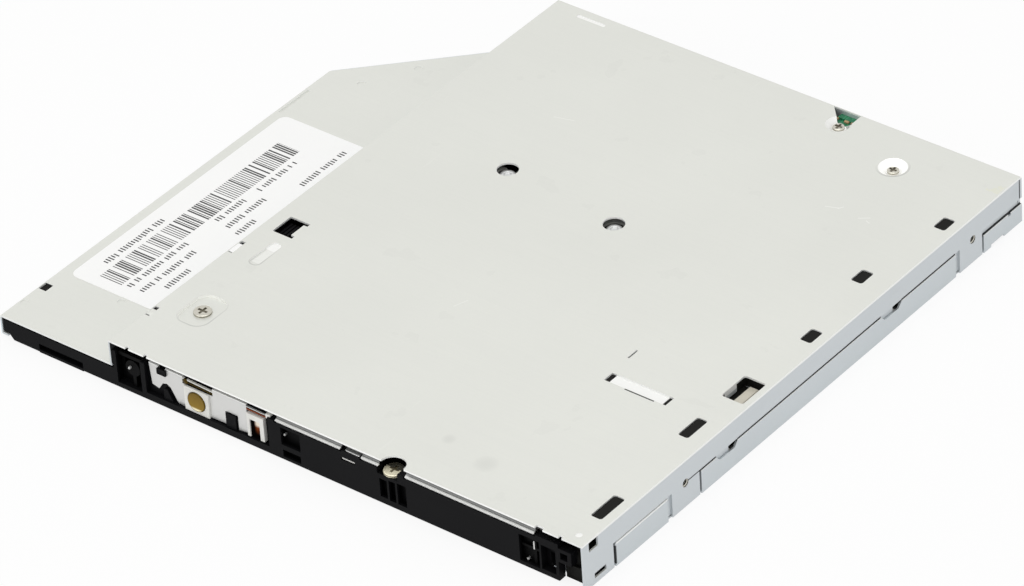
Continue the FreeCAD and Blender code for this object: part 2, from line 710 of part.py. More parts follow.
def case_cuts():
    """Everything punched out of the bottom case."""
    top = HEIGHT + OVERCUT
    under = PLATE_UNDER - OVERCUT
    cuts = [window_block(window, under, top) for window in WINDOWS + (HOOK_WINDOW,)]
    cuts.append(window_block(TEE, under, top, corner=TEE_CORNER))
    tee_right = TEE.x + TEE.width / 2
    for y in (back(TEE.back) - TEE.length / 2, back(TEE.back) + TEE.length / 2 - TEE_EAR_WIDTH):
        cuts.append(box(tee_right - OVERCUT, tee_right + TEE_EAR_REACH, y, y + TEE_EAR_WIDTH, under, top))
    for damper in DAMPERS[:2]:
        cuts.append(disc(SIGHT_HOLE_R, *traverse_point(*damper), under, top))
    bridge_half = BRIDGE_LENGTH / 2 + BRIDGE_END_GAP
    y = back(BRIDGE_BACK)
    cuts.append(box(BRIDGE_X - bridge_half, BRIDGE_X + bridge_half, y - BRIDGE_WIDTH / 2,
                    y + BRIDGE_WIDTH / 2, under, top))
    cuts.append(disc(FRONT_NOTCH_R, FRONT_NOTCH_X, FRONT, under, top))
    cuts += [room for metal, room in dishes()]
    for x, y in ((CUP_X, CUP_BACK), (REAR_SCREW_X, REAR_SCREW_BACK)):
        cuts.append(disc(SCREW_R + PIN_FIT, x, back(y), CUP_FLOOR_Z - OVERCUT, top))
    cuts.append(prism([(REAR_NOTCH_LEFT, REAR - SHEET),
                       (REAR_NOTCH_LEFT + REAR_NOTCH_SKEW, REAR - REAR_NOTCH_DEPTH),
                       (REAR_NOTCH_RIGHT, REAR - REAR_NOTCH_DEPTH),
                       (REAR_NOTCH_RIGHT, REAR - SHEET)], CUP_FLOOR_Z - OVERCUT, top))
    for start, length in STEP_NOTCHES:
        cuts.append(box(STEP_X + SHEET, STEP_X + STEP_NOTCH_WIDTH, back(start), back(start + length), under, top))
    cuts.append(box(LEFT + SHEET, LEFT + WING_NOTCH_WIDTH, back(WING_NOTCH_BACK),
                    back(WING_NOTCH_BACK + WING_NOTCH_LENGTH), WING_UNDER - OVERCUT, top))
    cuts.append(box(LEFT + WING_SLOT_INSET, LEFT + WING_SLOT_INSET + WING_SLOT_WIDTH, back(WING_SLOT_BACK),
                    back(WING_SLOT_BACK + WING_SLOT_LENGTH), WING_HEIGHT - WING_SLOT_DEPTH, top))
    cuts.append(box(RIGHT - 2 * SHEET, RIGHT + OVERCUT, back(CORNER_HOLE_BACK),
                    back(CORNER_HOLE_BACK + CORNER_HOLE_LENGTH), CORNER_HOLE_LOW, CORNER_HOLE_HIGH))
    for hole in SIDE_HOLES:
        cuts.append(bar(SIDE_HOLE_R, V(RIGHT - 2 * SIDE_HOLE_DEPTH, back(hole), SIDE_HOLE_Z),
                        3 * SIDE_HOLE_DEPTH, ALONG_X))
    cuts.append(latch_emboss_outline(0.0, HEIGHT - EMBOSS_DEPTH, top))
    cuts.append(disc(SCREW_R + PIN_FIT, LATCH_X, back(LATCH_BACK), under - OVERCUT, top))
    cuts.append(window_block(CAPSULE, HEIGHT - CAPSULE_DEPTH, top, corner=CAPSULE.width * 0.45))
    cuts.append(window_block(REAR_PRESS, HEIGHT - PIP_DEPTH, top, corner=REAR_PRESS.length * 0.45))
    cuts.append(box(SLIT_X - SLIT_WIDTH / 2, SLIT_X + SLIT_WIDTH / 2, back(SLIT_BACK),
                    back(SLIT_BACK + SLIT_LENGTH), under, top))
    cuts.append(box(RIGHT - 2 * SHEET, RIGHT + OVERCUT, back(LAND_SLOT_BACK),
                    back(LAND_SLOT_BACK + LAND_SLOT_LENGTH), LAND_SLOT_LOW, LAND_SLOT_HIGH))
    cuts.append(box(RIGHT - 2 * SHEET, RIGHT + OVERCUT, back(CORNER_SLIT_BACK),
                    back(CORNER_SLIT_BACK + CORNER_SLIT_WIDTH), JOGGLE_Z - OVERCUT, PLATE_UNDER))
    for x, width in FRONT_NICKS:
        cuts.append(box(x - width / 2, x + width / 2, FRONT - OVERCUT, back(NICK_DEPTH), under, top))
    for face, pips in ((HEIGHT, PLATE_PIPS), (WING_HEIGHT, WING_PIPS)):
        for x, distance, radius in pips:
            cuts.append(disc(radius, x, back(distance), face - PIP_DEPTH, face + OVERCUT))
    cuts.append(sata_cutout())
    return cuts


def sata_cutout():
    """Rear wall opening around the connector."""
    half = SATA_WIDTH / 2 + RUN_GAP
    return box(SATA_X - half, SATA_X + half, REAR - 2 * SHEET, REAR + OVERCUT,
               BOARD_UNDER - SATA_HEIGHT - RUN_GAP, BOARD_UNDER + RUN_GAP)


def hook_tab(grow=0.0, drop=HOOK_TAB_DROP):
    """Tab bent down at the hook window, or the room that it needs."""
    x = HOOK_WINDOW.x - HOOK_WINDOW.width / 2
    y = back(HOOK_WINDOW.back) - HOOK_WINDOW.length / 2
    return box(x - SHEET - grow, x + grow, y - grow, y + HOOK_TAB_LENGTH + grow, PLATE_UNDER - drop, PLATE_UNDER)


def bottom_case():
    """Stamped case with step, windows, pans, lanced bridge and side lands."""
    case = fuse([
        main_shell(),
        wing_shell(),
        right_wall(),
        latch_emboss_outline(EMBOSS_WALL, PLATE_UNDER - EMBOSS_DEPTH, PLATE_UNDER + SEAM),
    ] + [metal for metal, room in dishes()])
    case = case.cut(case_cuts())
    y = back(BRIDGE_BACK)
    half_y = BRIDGE_WIDTH / 2 + BRIDGE_ROOT
    bridge = box(BRIDGE_X - BRIDGE_LENGTH / 2, BRIDGE_X + BRIDGE_LENGTH / 2, y - half_y, y + half_y,
                 PLATE_UNDER - SHEET, PLATE_UNDER)
    return fuse([case, bridge, hook_tab()])


def lid_outline():
    """Plan of the lid plate."""
    side = RIGHT - SHEET - SEAM
    end = diagonal_end(0.0)
    return [(LEFT + SEAM, back(LID_SETBACK)), (side, back(LID_SETBACK)), (side, REAR), (STEP_X, REAR),
            (STEP_X, end), (LEFT + SEAM, end - WING_WIDTH + SEAM)]


def flange_outline(start, end, top):
    """Side view of one lid flange, with the hook notches that fall on it."""
    points = [(back(start), 0.0), (back(end), 0.0), (back(end), top)]
    for notch in sorted(FLANGE_NOTCHES, reverse=True):
        if start < notch < end:
            far = back(notch + NOTCH_LENGTH)
            near = back(notch)
            points += [(far, top), (far - NOTCH_SLOPE, top - NOTCH_DEPTH),
                       (near + NOTCH_SLOPE, top - NOTCH_DEPTH), (near, top)]
    return points + [(back(start), top)]


def top_case():
    """Lid plate with its side, rear and corner flanges."""
    pieces = [prism(lid_outline(), 0.0, SHEET)]
    spans = panel_spans()
    for start, end in spans:
        top = REAR_FLANGE_TOP if end == DEPTH else FLANGE_TOP
        pieces.append(side_prism(flange_outline(start, end, top), RIGHT - SHEET, RIGHT))
        pieces.append(box(RIGHT - 2 * SHEET, RIGHT, back(start), back(end), 0.0, SHEET))
    high = JOGGLE_Z - SEAM_GAP
    pieces.append(box(STEP_X, RIGHT - 2 * SHEET - 2 * SEAM - RUN_GAP, REAR - SHEET, REAR, 0.0, high))
    end = diagonal_end(0.0)
    pieces.append(box(STEP_X, STEP_X + SHEET, end + SHEET + 2 * SEAM, REAR, 0.0, high))
    near = CORNER_FLANGE_GAP
    far = CORNER_FLANGE_GAP + SHEET * math.sqrt(2)
    start_y = end - WING_WIDTH
    pieces.append(prism([(LEFT + SEAM, start_y + near), (STEP_X, end + near),
                         (STEP_X, end + far), (LEFT + SEAM, start_y + far)], 0.0, WING_UNDER))
    pieces.append(prism([(LEFT + SEAM, start_y - SHEET), (STEP_X, end - SHEET),
                         (STEP_X, end + far), (LEFT + SEAM, start_y + far)], 0.0, SHEET))
    edge_notch = window_block(LID_EDGE_NOTCH, -OVERCUT, LID_EDGE_DEPTH)
    nick = window_block(LID_NICK, REAR_FLANGE_TOP - LID_NICK_DEPTH, HEIGHT, corner=LID_NICK_DEPTH * 0.5)
    return fuse(pieces).cut([sata_cutout(), edge_notch, nick])


def label():
    """Paper label on the wing."""
    y = back(LABEL_FRONT)
    return rounded(LEFT + LABEL_LEFT_INSET, STEP_X - RUN_GAP, y, y + LABEL_LENGTH,
                   WING_HEIGHT, WING_HEIGHT + LABEL_THICK, LABEL_CORNER)


def latch_post():
    """Post under the case that the tray's latch hooks."""
    y = back(LATCH_BACK)
    top = PLATE_UNDER - EMBOSS_DEPTH
    post = fuse([disc(POST_R, LATCH_X, y, POST_FOOT, top),
                 disc(POST_FLANGE_R, LATCH_X, y, top - POST_FLANGE_T, top)])
    return post.cut(disc(SCREW_R, LATCH_X, y, HEIGHT - EMBOSS_DEPTH - SCREW_LENGTH, HEIGHT))


def case_screws():
    """The three screws of the bottom case."""
    return Part.makeCompound([
        screw(LATCH_X, back(LATCH_BACK), HEIGHT - EMBOSS_DEPTH, SCREW_HEAD_R, SCREW_HEAD_H, SCREW_LENGTH),
        screw(CUP_X, back(CUP_BACK), CUP_FLOOR_Z + CUP_WALL, DEEP_HEAD_R, SCREW_HEAD_H, SCREW_LENGTH),
        screw(REAR_SCREW_X, back(REAR_SCREW_BACK), CUP_FLOOR_Z + CUP_WALL, DEEP_HEAD_R, SCREW_HEAD_H, SCREW_LENGTH),
    ])


def main_board():
    """Circuit board under the rear of the case."""
    rear = REAR - SHEET - BOARD_REAR_GAP
    board = prism([(BOARD_LEFT, BOARD_FRONT + BOARD_CORNER), (BOARD_LEFT + BOARD_CORNER, BOARD_FRONT),
                   (BOARD_RIGHT, BOARD_FRONT), (BOARD_RIGHT, rear), (BOARD_LEFT, rear)], BOARD_UNDER, BOARD_TOP)
    holes = [disc(SCREW_R + PIN_FIT, x, back(y), BOARD_UNDER - OVERCUT, BOARD_TOP + OVERCUT)
             for x, y in ((CUP_X, CUP_BACK), (REAR_SCREW_X, REAR_SCREW_BACK))]
    return board.cut(holes)


def board_nuts():
    """Nuts soldered under the board for the two rear screws."""
    nuts = [ring(BOARD_NUT_R, SCREW_R + PIN_FIT, x, back(y), BOARD_UNDER - BOARD_NUT_H, BOARD_UNDER)
            for x, y in ((CUP_X, CUP_BACK), (REAR_SCREW_X, REAR_SCREW_BACK))]
    return Part.makeCompound(nuts)


def chip(package):
    """Square package under the board with chamfered corners; its length is its height."""
    half = package.width / 2
    y = back(package.back)
    block = box(package.x - half, package.x + half, y - half, y + half, BOARD_UNDER - package.length, BOARD_UNDER)
    upright = [e for e in block.Edges if abs(e.tangentAt(e.FirstParameter).z) > 0.9]
    return block.makeChamfer(CHIP_CHAMFER, upright)


def board_capacitors():
    """Small parts under the board, in rows."""
    length, width, height = CAPACITOR
    parts = []
    for row in range(CAPACITOR_ROWS[1]):
        for column in range(CAPACITOR_ROWS[0]):
            x = CAPACITOR_START[0] + CAPACITOR_PITCH[0] * column
            y = CAPACITOR_START[1] + CAPACITOR_PITCH[1] * row
            parts.append(box(x, x + length, y, y + width, BOARD_UNDER - height, BOARD_UNDER))
    return Part.makeCompound(parts)


def flex_socket(y, z0, z1):
    """Flat cable socket with a slot towards the cable."""
    half = FLEX_WIDTH / 2
    return box(FLEX_X - half - SOCKET_MARGIN, FLEX_X + half + SOCKET_MARGIN, y, y + SOCKET_DEPTH, z0, z1)


def flex_run(points):
    """Flat cable along points given as y and z."""
    return ribbon(points, FLEX_X - FLEX_WIDTH / 2, FLEX_X + FLEX_WIDTH / 2, FLEX_T)


def flex_points():
    """Route of the cable: out of the board socket, under the plate, folded twice, into the tray."""
    upper = PLATE_UNDER - RUN_GAP / 2 - FLEX_T / 2
    lower = UNDER_PLATE_TOP + RUN_GAP
    exit_z = BOARD_UNDER - SOCKET_H / 2
    pass_z = TRAY_FLOOR_TOP + TRAY_SOCKET_H + RUN_GAP + FLEX_T
    tail_z = TRAY_FLOOR_TOP + TRAY_SOCKET_H / 2
    ramp = UNDER_PLATE_REAR + RUN_GAP * 2
    rear_fold = TRAY_SOCKET_Y + SOCKET_DEPTH + 2 * FLEX_RAMP
    points = [(BOARD_SOCKET_Y, exit_z), (ramp + 2 * FLEX_RAMP, exit_z), (ramp + FLEX_RAMP, upper)]
    points += half_turn(FLEX_FOLD, upper, lower, -1)
    points += [(ramp, lower), (ramp + FLEX_RAMP, pass_z)]
    points += half_turn(rear_fold, pass_z, tail_z, 1)
    return points + [(TRAY_SOCKET_Y + SOCKET_DEPTH, tail_z)]


def sata_connector():
    """Rear connector: open shroud with a contact tongue."""
    half = SATA_WIDTH / 2
    low = BOARD_UNDER - SATA_HEIGHT
    body = box(SATA_X - half, SATA_X + half, REAR - SATA_DEPTH, REAR, low, BOARD_UNDER)
    inner = half - SATA_SIDE
    mouth = box(SATA_X - inner, SATA_X + inner, REAR - SATA_MOUTH, REAR + OVERCUT, low + SATA_WALL,
                BOARD_UNDER - SATA_WALL)
    tongue_half = inner - SATA_SIDE
    tongue = box(SATA_X - tongue_half, SATA_X + tongue_half, REAR - SATA_MOUTH - SATA_WALL, REAR - TONGUE_SETBACK,
                 low + TONGUE_LOW, low + TONGUE_LOW + TONGUE_T)
    return fuse([body.cut(mouth), tongue])


def sata_contacts():
    """Contact strips on the connector's tongue."""
    low = BOARD_UNDER - SATA_HEIGHT + TONGUE_LOW + TONGUE_T
    first = SATA_X - SATA_PITCH * (SATA_CONTACTS - 1) / 2
    rear = REAR - TONGUE_SETBACK - 2 * CONTACT_T
    half = CONTACT_WIDTH / 2
    strips = [box(first + SATA_PITCH * k - half, first + SATA_PITCH * k + half, rear - CONTACT_LENGTH, rear,
                  low, low + CONTACT_T) for k in range(SATA_CONTACTS)]
    return Part.makeCompound(strips)


def channel(x_web, direction, y0, y1, low, high, depth):
    """Pressed channel rail, open towards the tray."""
    ends = sorted((x_web, x_web + direction * depth))
    inner = sorted((x_web + direction * RAIL_SHEET, x_web + direction * (depth + OVERCUT)))
    rail = box(ends[0], ends[1], y0, y1, low, high)
    return rail.cut(box(inner[0], inner[1], y0 - OVERCUT, y1 + OVERCUT, low + RAIL_SHEET, high - RAIL_SHEET))


def slide_rail_right():
    """Right slide rail."""
    start = back(RAIL_FRONT)
    return channel(RIGHT - RIGHT_RAIL_INSET, -1, start, start + RIGHT_RAIL_LENGTH,
                   RIGHT_RAIL_LOW, RIGHT_RAIL_HIGH, RIGHT_RAIL_DEPTH)


def slide_rail_left():
    """Left slide rail, in the edge of the wing."""
    start = back(LEFT_RAIL_FRONT)
    return channel(LEFT + LEFT_RAIL_INSET, 1, start, start + LEFT_RAIL_LENGTH,
                   LEFT_RAIL_LOW, LEFT_RAIL_HIGH, LEFT_RAIL_DEPTH)


def rail_guide_right():
    """Moulded guide that carries the right rail, with bosses in the case windows."""
    web = RIGHT - RIGHT_RAIL_INSET + RUN_GAP
    wall = RIGHT - GUIDE_WALL_INSET
    shelf = RIGHT - GUIDE_SHELF_INSET
    low = RIGHT_RAIL_LOW - RUN_GAP
    high = RIGHT_RAIL_HIGH + RUN_GAP
    section = [(web - GUIDE_LIP_DEPTH, low - GUIDE_LIP), (wall, low - GUIDE_LIP), (wall, PLATE_UNDER),
               (shelf, PLATE_UNDER), (shelf, high), (web, high), (web, low), (web - GUIDE_LIP_DEPTH, low)]
    start = back(GUIDE_FRONT)
    guide = front_prism(section, start, start + GUIDE_LENGTH)
    room = [window_block(HOOK_WINDOW, high - OVERCUT, HEIGHT, grow=RUN_GAP),
            hook_tab(grow=RUN_GAP, drop=HOOK_TAB_DROP + OVERCUT)]
    bosses = [window_block(w, PLATE_UNDER - SEAM, HEIGHT - BOSS_SINK, grow=-WINDOW_FIT) for w in WINDOWS]
    return fuse([guide.cut(room)] + bosses)


def tray_outline():
    """Plan of the tray behind its front wall."""
    corner = back(WING_LENGTH) - LEFT + TRAY_LEFT - TRAY_DIAGONAL_INSET
    start = back(FRONT_WALL_T) - SEAM
    return [(TRAY_LEFT, start), (TRAY_RIGHT, start), (TRAY_RIGHT, TRAY_REAR),
            (TRAY_LEFT + TRAY_REAR - corner, TRAY_REAR), (TRAY_LEFT, corner)]


def tray_front():
    """Front wall with the pockets, ledge and openings seen from the front."""
    wing_top = WING_UNDER - RUN_GAP
    main_left = STEP_X + SHEET + RUN_GAP
    side = LEFT + SHEET + RUN_GAP
    right = RIGHT - FRONT_END_INSET
    lip_edge = LEFT + LIP_WIDTH + RUN_GAP
    outline = [(side, wing_top), (side, LEFT_RAIL_LOW), (lip_edge, LEFT_RAIL_LOW),
               (lip_edge + OVERCUT, FRONT_FOOT_Z), (right, FRONT_FOOT_Z), (right, TRAY_TOP), (main_left, TRAY_TOP),
               (main_left, wing_top)]
    inner = back(FRONT_WALL_T)
    wall = front_prism(outline, FRONT, inner)
    front = FRONT - OVERCUT
    cuts = [front_block(pocket, front, back(POCKET_DEPTH)) for pocket in FRONT_POCKETS]
    cuts += [front_block(slot, front, inner + OVERCUT) for slot in FRONT_SLOTS]
    for left, end, low, high in (CAVITY, EJECT_BAY):
        cuts.append(box(left, end, front, inner + OVERCUT, low, high + OVERCUT))
    tab_left, tab_low, tab_high = FRONT_END_TAB
    cuts.append(box(tab_left, right + OVERCUT, front, inner + OVERCUT, FRONT_FOOT_Z - OVERCUT, tab_low))
    cuts.append(box(tab_left, right + OVERCUT, front, inner + OVERCUT, tab_high, TRAY_TOP + OVERCUT))
    seat_left = FRONT_SCREW_X - TRAY_SCREW_R
    seat_right = FRONT_SCREW_X + TRAY_SCREW_R
    cuts.append(box(seat_left - RUN_GAP, seat_right + RUN_GAP, front, inner + OVERCUT, FRONT_SCREW_SEAT,
                    TRAY_TOP + OVERCUT))
    cuts += [box(x0 - RUN_GAP, x1 + RUN_GAP, front, inner + OVERCUT, foot - SEAM, TRAY_TOP + OVERCUT)
             for x0, x1, foot in LIP_SPANS]
    boss_x, boss_z, boss_r = CAVITY_BOSS
    cavity_end = inner + CAVITY_DEPTH
    ribs = [front_block(rib, back(RIB_FRONT), inner) for rib in POCKET_RIBS + (CAVITY_BAR,)]
    ribs += [
        front_prism([(STEP_X + x, z) for x, z in BRACKET_POST], back(RIB_FRONT / 2), inner),
        front_block(BAY_RIB, back(RIB_FRONT / 2), inner),
        box(seat_left, seat_right, inner - SEAM, FRONT_SCREW_Y + TRAY_SCREW_R, TRAY_FLOOR_TOP - SEAM,
            FRONT_SCREW_SEAT),
        front_block(CAVITY_RIB, back(RIB_FRONT), cavity_end + SEAM),
        bar(boss_r, V(boss_x, back(RIB_FRONT), boss_z), cavity_end + SEAM - back(RIB_FRONT), ALONG_Y),
        box(FRONT_POCKETS[0][0], FRONT_POCKETS[0][1], FRONT, inner, FRONT_TAB_Z, FRONT_POCKETS[0][2]),
        box(CAVITY[0], CAVITY_BAR[1], cavity_end, cavity_end + OVERCUT, TRAY_RIM_Z, TRAY_TOP),
        box(EJECT_BAY[0], EJECT_BAY[1], back(BRACKET_FRONT + BRACKET_T), back(BRACKET_FRONT + BRACKET_T) + OVERCUT,
            TRAY_RIM_Z, TRAY_TOP),
    ]
    return fuse([wall.cut(cuts)] + ribs)


def tray_floor():
    """Tray plate with the wells for large and small discs and the opening of the traverse."""
    floor = prism(tray_outline(), TRAY_RIM_Z, TRAY_FLOOR_TOP)
    half = PICKUP_HALF + 1.8
    travel_end = LENS_U + PICKUP_TRAVEL + PICKUP_FRONT + OVERCUT
    opening = fuse([disc(TURNTABLE_R + 1.5, 0, 0, 0, TRAY_TOP), box(0, travel_end, -half, half, 0, TRAY_TOP)])
    wells = [disc(DISC_R + DISC_PLAY, SPINDLE_X, SPINDLE_Y, TRAY_RIM_Z - OVERCUT, TRAY_FLOOR_Z),
             disc(SMALL_DISC_R + DISC_PLAY, SPINDLE_X, SPINDLE_Y, TRAY_RIM_Z, TRAY_FLOOR_Z + SMALL_WELL_DEPTH)]
    return floor.cut(wells + [on_traverse(opening)])


def tray():
    """Disc tray: floor with the disc wells underneath, walls and runners above."""
    rail_middle = (RIGHT_RAIL_LOW + RIGHT_RAIL_HIGH) / 2
    runner_half = (RIGHT_RAIL_HIGH - RIGHT_RAIL_LOW) / 2 - RAIL_SHEET - RUN_GAP
    left_middle = (LEFT_RAIL_LOW + LEFT_RAIL_HIGH) / 2
    left_half = (LEFT_RAIL_HIGH - LEFT_RAIL_LOW) / 2 - RAIL_SHEET - RUN_GAP
    left_end = tray_outline()[-1][1] - SIDE_WALL_REAR
    start = back(FRONT_WALL_T) - SEAM
    rear = TRAY_REAR - SIDE_WALL_REAR
    main_left = STEP_X + SHEET + RUN_GAP
    base = TRAY_FLOOR_TOP - SEAM
    pivot = (LEVER_PIVOT[0], back(LEVER_PIVOT[1]))
    tee_half = TEE.length / 2 - TEE_CORNER
    pieces = [
        tray_floor(),
        tray_front(),
        box(TRAY_RIGHT - SIDE_WALL_T, TRAY_RIGHT, start, rear, TRAY_FLOOR_Z, TRAY_TOP),
        box(TRAY_RIGHT - SEAM, RIGHT - RIGHT_RAIL_INSET - RAIL_SHEET - RUN_GAP, start, rear,
            rail_middle - runner_half, rail_middle + runner_half),
        box(LEFT + LEFT_RAIL_INSET + RAIL_SHEET + RUN_GAP, TRAY_LEFT + SEAM, start, left_end,
            left_middle - left_half, left_middle + left_half),
        box(main_left, main_left + SIDE_WALL_T, start, back(LEFT_WALL_LENGTH), base, TRAY_TOP - 2 * RUN_GAP),
        window_block(TEE, base, TRAY_TOP, grow=WINDOW_FIT, corner=TEE_CORNER),
        box(UNDER_PLATE_LEFT, UNDER_PLATE_LEFT + SIDE_WALL_T, UNDER_PLATE_REAR - 50.0, UNDER_PLATE_REAR - 2.0,
            base, TRAY_TOP),
        disc(PIVOT_R, *pivot, base, LEVER_Z + LEVER_T),
        disc(PIVOT_R + PIVOT_SHOULDER, *pivot, base, LEVER_Z - PIN_FIT),
    ]
    ridge_top = PLATE_UNDER - EMBOSS_DEPTH - RUN_GAP
    for step in range(TEE_RIDGES):
        x = TEE.x - TEE.width / 2 + TEE_RIDGE_INSET + TEE_RIDGE_PITCH * step
        pieces.append(box(x, x + TEE_RIDGE_WIDTH, back(TEE.back) - tee_half, back(TEE.back) + tee_half,
                          TRAY_TOP - SEAM, ridge_top))
    for u, v in DAMPERS:
        pieces.append(disc(DAMPER_BOSS_R, *traverse_point(u, v), DAMPER_BOSS_Z, TRAY_FLOOR_TOP))
    for x, y in TRAY_SCREWS:
        pieces.append(disc(TRAY_SCREW_R, x, y, base, TRAY_TOP))
    hole_r = SCREW_R + PIN_FIT
    holes = [disc(hole_r, *traverse_point(u, v), 0, TRAY_TOP) for u, v in DAMPERS]
    holes += [disc(hole_r, x, y, UNDER_PLATE_TOP - SCREW_LENGTH, HEIGHT) for x, y in TRAY_SCREWS]
    holes.append(disc(hole_r, FRONT_SCREW_X, FRONT_SCREW_Y, FRONT_SCREW_SEAT - SCREW_LENGTH, HEIGHT))
    return fuse(pieces).cut(holes)


def rolled_lip(x0, x1, foot):
    """One lip of the under plate, bent up and forward and flared down over the tray front."""
    riser = back(LIP_DEPTH - UNDER_PLATE_T / 2)
    run = LIP_TOP - UNDER_PLATE_T / 2
    waist = foot + LIP_WAIST_SHARE * (run - foot)
    profile = [(riser, run), (back(LIP_BEND), run), (back(LIP_WAIST), waist),
               (back(LIP_NOSE), foot + UNDER_PLATE_T / 2)]
    block = box(x0, x1, FRONT, back(LIP_DEPTH), foot, LIP_TOP)
    corners = [e for e in block.Edges
               if abs(e.tangentAt(e.FirstParameter).y) > 0.9 and e.BoundBox.ZMax < foot + 1e-3]
    nose = block.makeFillet(min(LIP_CORNER, (LIP_TOP - foot) / 2), corners)
    return fuse([nose.common(ribbon(profile, x0, x1, UNDER_PLATE_T)),
                 box(x0, x1, back(LIP_DEPTH - UNDER_PLATE_T), back(LIP_DEPTH), TRAY_TOP, LIP_TOP)])


def under_plate():
    """Shield over the traverse with rolled lips over the tray front."""
    right = TRAY_RIGHT - RUN_GAP
    front = back(LIP_DEPTH - UNDER_PLATE_T)
    ear_right = UNDER_EAR.x + UNDER_EAR.width / 2
    ear_rear = back(UNDER_EAR.back + UNDER_EAR.length / 2)
    corner = UNDER_PLATE_CORNER
    plate = prism([(ear_right - OVERCUT, front), (right, front), (right, UNDER_PLATE_REAR),
                   (UNDER_PLATE_LEFT + corner, UNDER_PLATE_REAR), (UNDER_PLATE_LEFT, UNDER_PLATE_REAR - corner),
                   (UNDER_PLATE_LEFT, ear_rear), (ear_right - OVERCUT, ear_rear)], TRAY_TOP, UNDER_PLATE_TOP)
    ear = box(UNDER_EAR.x - UNDER_EAR.width / 2, ear_right, ear_rear - UNDER_EAR.length, ear_rear, TRAY_TOP,
              UNDER_PLATE_TOP)
    pieces = [plate, ear] + [rolled_lip(*span) for span in LIP_SPANS]
    holes = [disc(DAMPER_R + 2 * SEAM, *traverse_point(u, v), TRAY_TOP - OVERCUT, HEIGHT) for u, v in DAMPERS]
    holes += [disc(SCREW_R + PIN_FIT, x, y, TRAY_TOP - OVERCUT, HEIGHT) for x, y in TRAY_SCREWS]
    holes.append(disc(FRONT_NOTCH_R, FRONT_SCREW_X, FRONT_SCREW_Y, TRAY_TOP - OVERCUT, HEIGHT))
    return fuse(pieces).cut(holes)


def tray_screws():
    """Screws that hold the under plate on the tray, and the sunk one in the tray front."""
    places = [(x, y, UNDER_PLATE_TOP) for x, y in TRAY_SCREWS]
    places.append((FRONT_SCREW_X, FRONT_SCREW_Y, FRONT_SCREW_SEAT))
    return Part.makeCompound([screw(x, y, seat, TRAY_SCREW_R, TRAY_SCREW_H, SCREW_LENGTH) for x, y, seat in places])


def rod_blocks(v):
    """Two blocks that hold one guide rod on the chassis."""
    half = ROD_R + ROD_WALL
    return [box(u, u + ROD_BLOCK, v - half, v + half, CHASSIS_TOP, ROD_Z + half)
            for u in (ROD_START, ROD_END - ROD_BLOCK)]


def traverse_chassis():
    """Pressed frame that carries spindle, rods, lead screw and pickup."""
    outer = LEAD_V + BEARING_HALF
    motor_side = LEAD_V + MOTOR_HALF
    nose = ROD_END + ROD_BLOCK
    motor_end = MOTOR_START + MOTOR_LENGTH
    tail = CHASSIS_REAR - CHASSIS_HALF / 2
    plate = prism([(-CHASSIS_REAR, -CHASSIS_TAIL_HALF), (-tail, -CHASSIS_HALF), (LEAD_END - 4, -CHASSIS_HALF),
                   (ROD_END, -ROD_V - ROD_R - ROD_WALL), (nose, -CHASSIS_NOSE_HALF), (nose, CHASSIS_NOSE_HALF),
                   (ROD_END, outer), (motor_end, motor_side), (MOTOR_START - DAMPER_R, motor_side),
                   (-tail, LEAD_V - CHASSIS_TAIL_HALF), (-CHASSIS_REAR, CHASSIS_TAIL_HALF)], CHASSIS_Z, CHASSIS_TOP)
    ears = [disc(DAMPER_R + DAMPER_EAR, u, v, CHASSIS_Z, CHASSIS_TOP) for u, v in DAMPERS]
    arms = [box(u - DAMPER_R, u + DAMPER_R, min(v, 0), max(v, 0), CHASSIS_Z, CHASSIS_TOP) for u, v in DAMPERS[1:]]
    bearing = box(LEAD_END - BEARING_BLOCK, LEAD_END, LEAD_V - BEARING_HALF, LEAD_V + BEARING_HALF, CHASSIS_TOP,
                  LEAD_Z + BEARING_HALF)
    frame = fuse([plate] + ears + arms + rod_blocks(ROD_V) + rod_blocks(-ROD_V) + [bearing])
    half = PICKUP_HALF + 0.8
    wide = ROD_V + ROD_R + BUSH_WALL + 0.4
    window_start = TURNTABLE_R - RUN_GAP
    cuts = [
        disc(ROTOR_R + 2 * RUN_GAP, 0, 0, 0, HEIGHT),
        box(window_start, LENS_U + PICKUP_TRAVEL + PICKUP_FRONT + RUN_GAP, -half, half, 0, CHASSIS_TOP),
        box(window_start, ROD_END - ROD_BLOCK - RUN_GAP, -wide, wide, 0, CHASSIS_TOP),
        bar(LEAD_R + PIN_FIT, V(LEAD_END - 2 * BEARING_BLOCK, LEAD_V, LEAD_Z), 4 * BEARING_BLOCK, ALONG_X),
    ]
    cuts += [bar(ROD_R, V(0, v, ROD_Z), 2 * ROD_END, ALONG_X) for v in (ROD_V, -ROD_V)]
    cuts += [disc(DAMPER_NECK_R, u, v, 0, CHASSIS_TOP) for u, v in DAMPERS]
    return on_traverse(frame.cut(cuts))


def damper_bushes():
    """Rubber bushes between chassis and tray."""
    bushes = []
    for u, v in DAMPERS:
        bush = fuse([disc(DAMPER_R, u, v, TRAY_FLOOR_TOP, CHASSIS_Z),
                     disc(DAMPER_NECK_R, u, v, CHASSIS_Z, CHASSIS_TOP),
                     disc(DAMPER_R, u, v, CHASSIS_TOP, DAMPER_TOP)])
        bushes.append(on_traverse(bush.cut(disc(SCREW_R + PIN_FIT, u, v, 0, HEIGHT))))
    return Part.makeCompound(bushes)


def damper_screws():
    """Shouldered screws through the bushes, seen through the case's sight holes."""
    length = DAMPER_TOP - DAMPER_BOSS_Z - 0.2
    return Part.makeCompound([
        screw(*traverse_point(u, v), DAMPER_TOP, DAMPER_HEAD_R, DAMPER_HEAD_H, length) for u, v in DAMPERS])


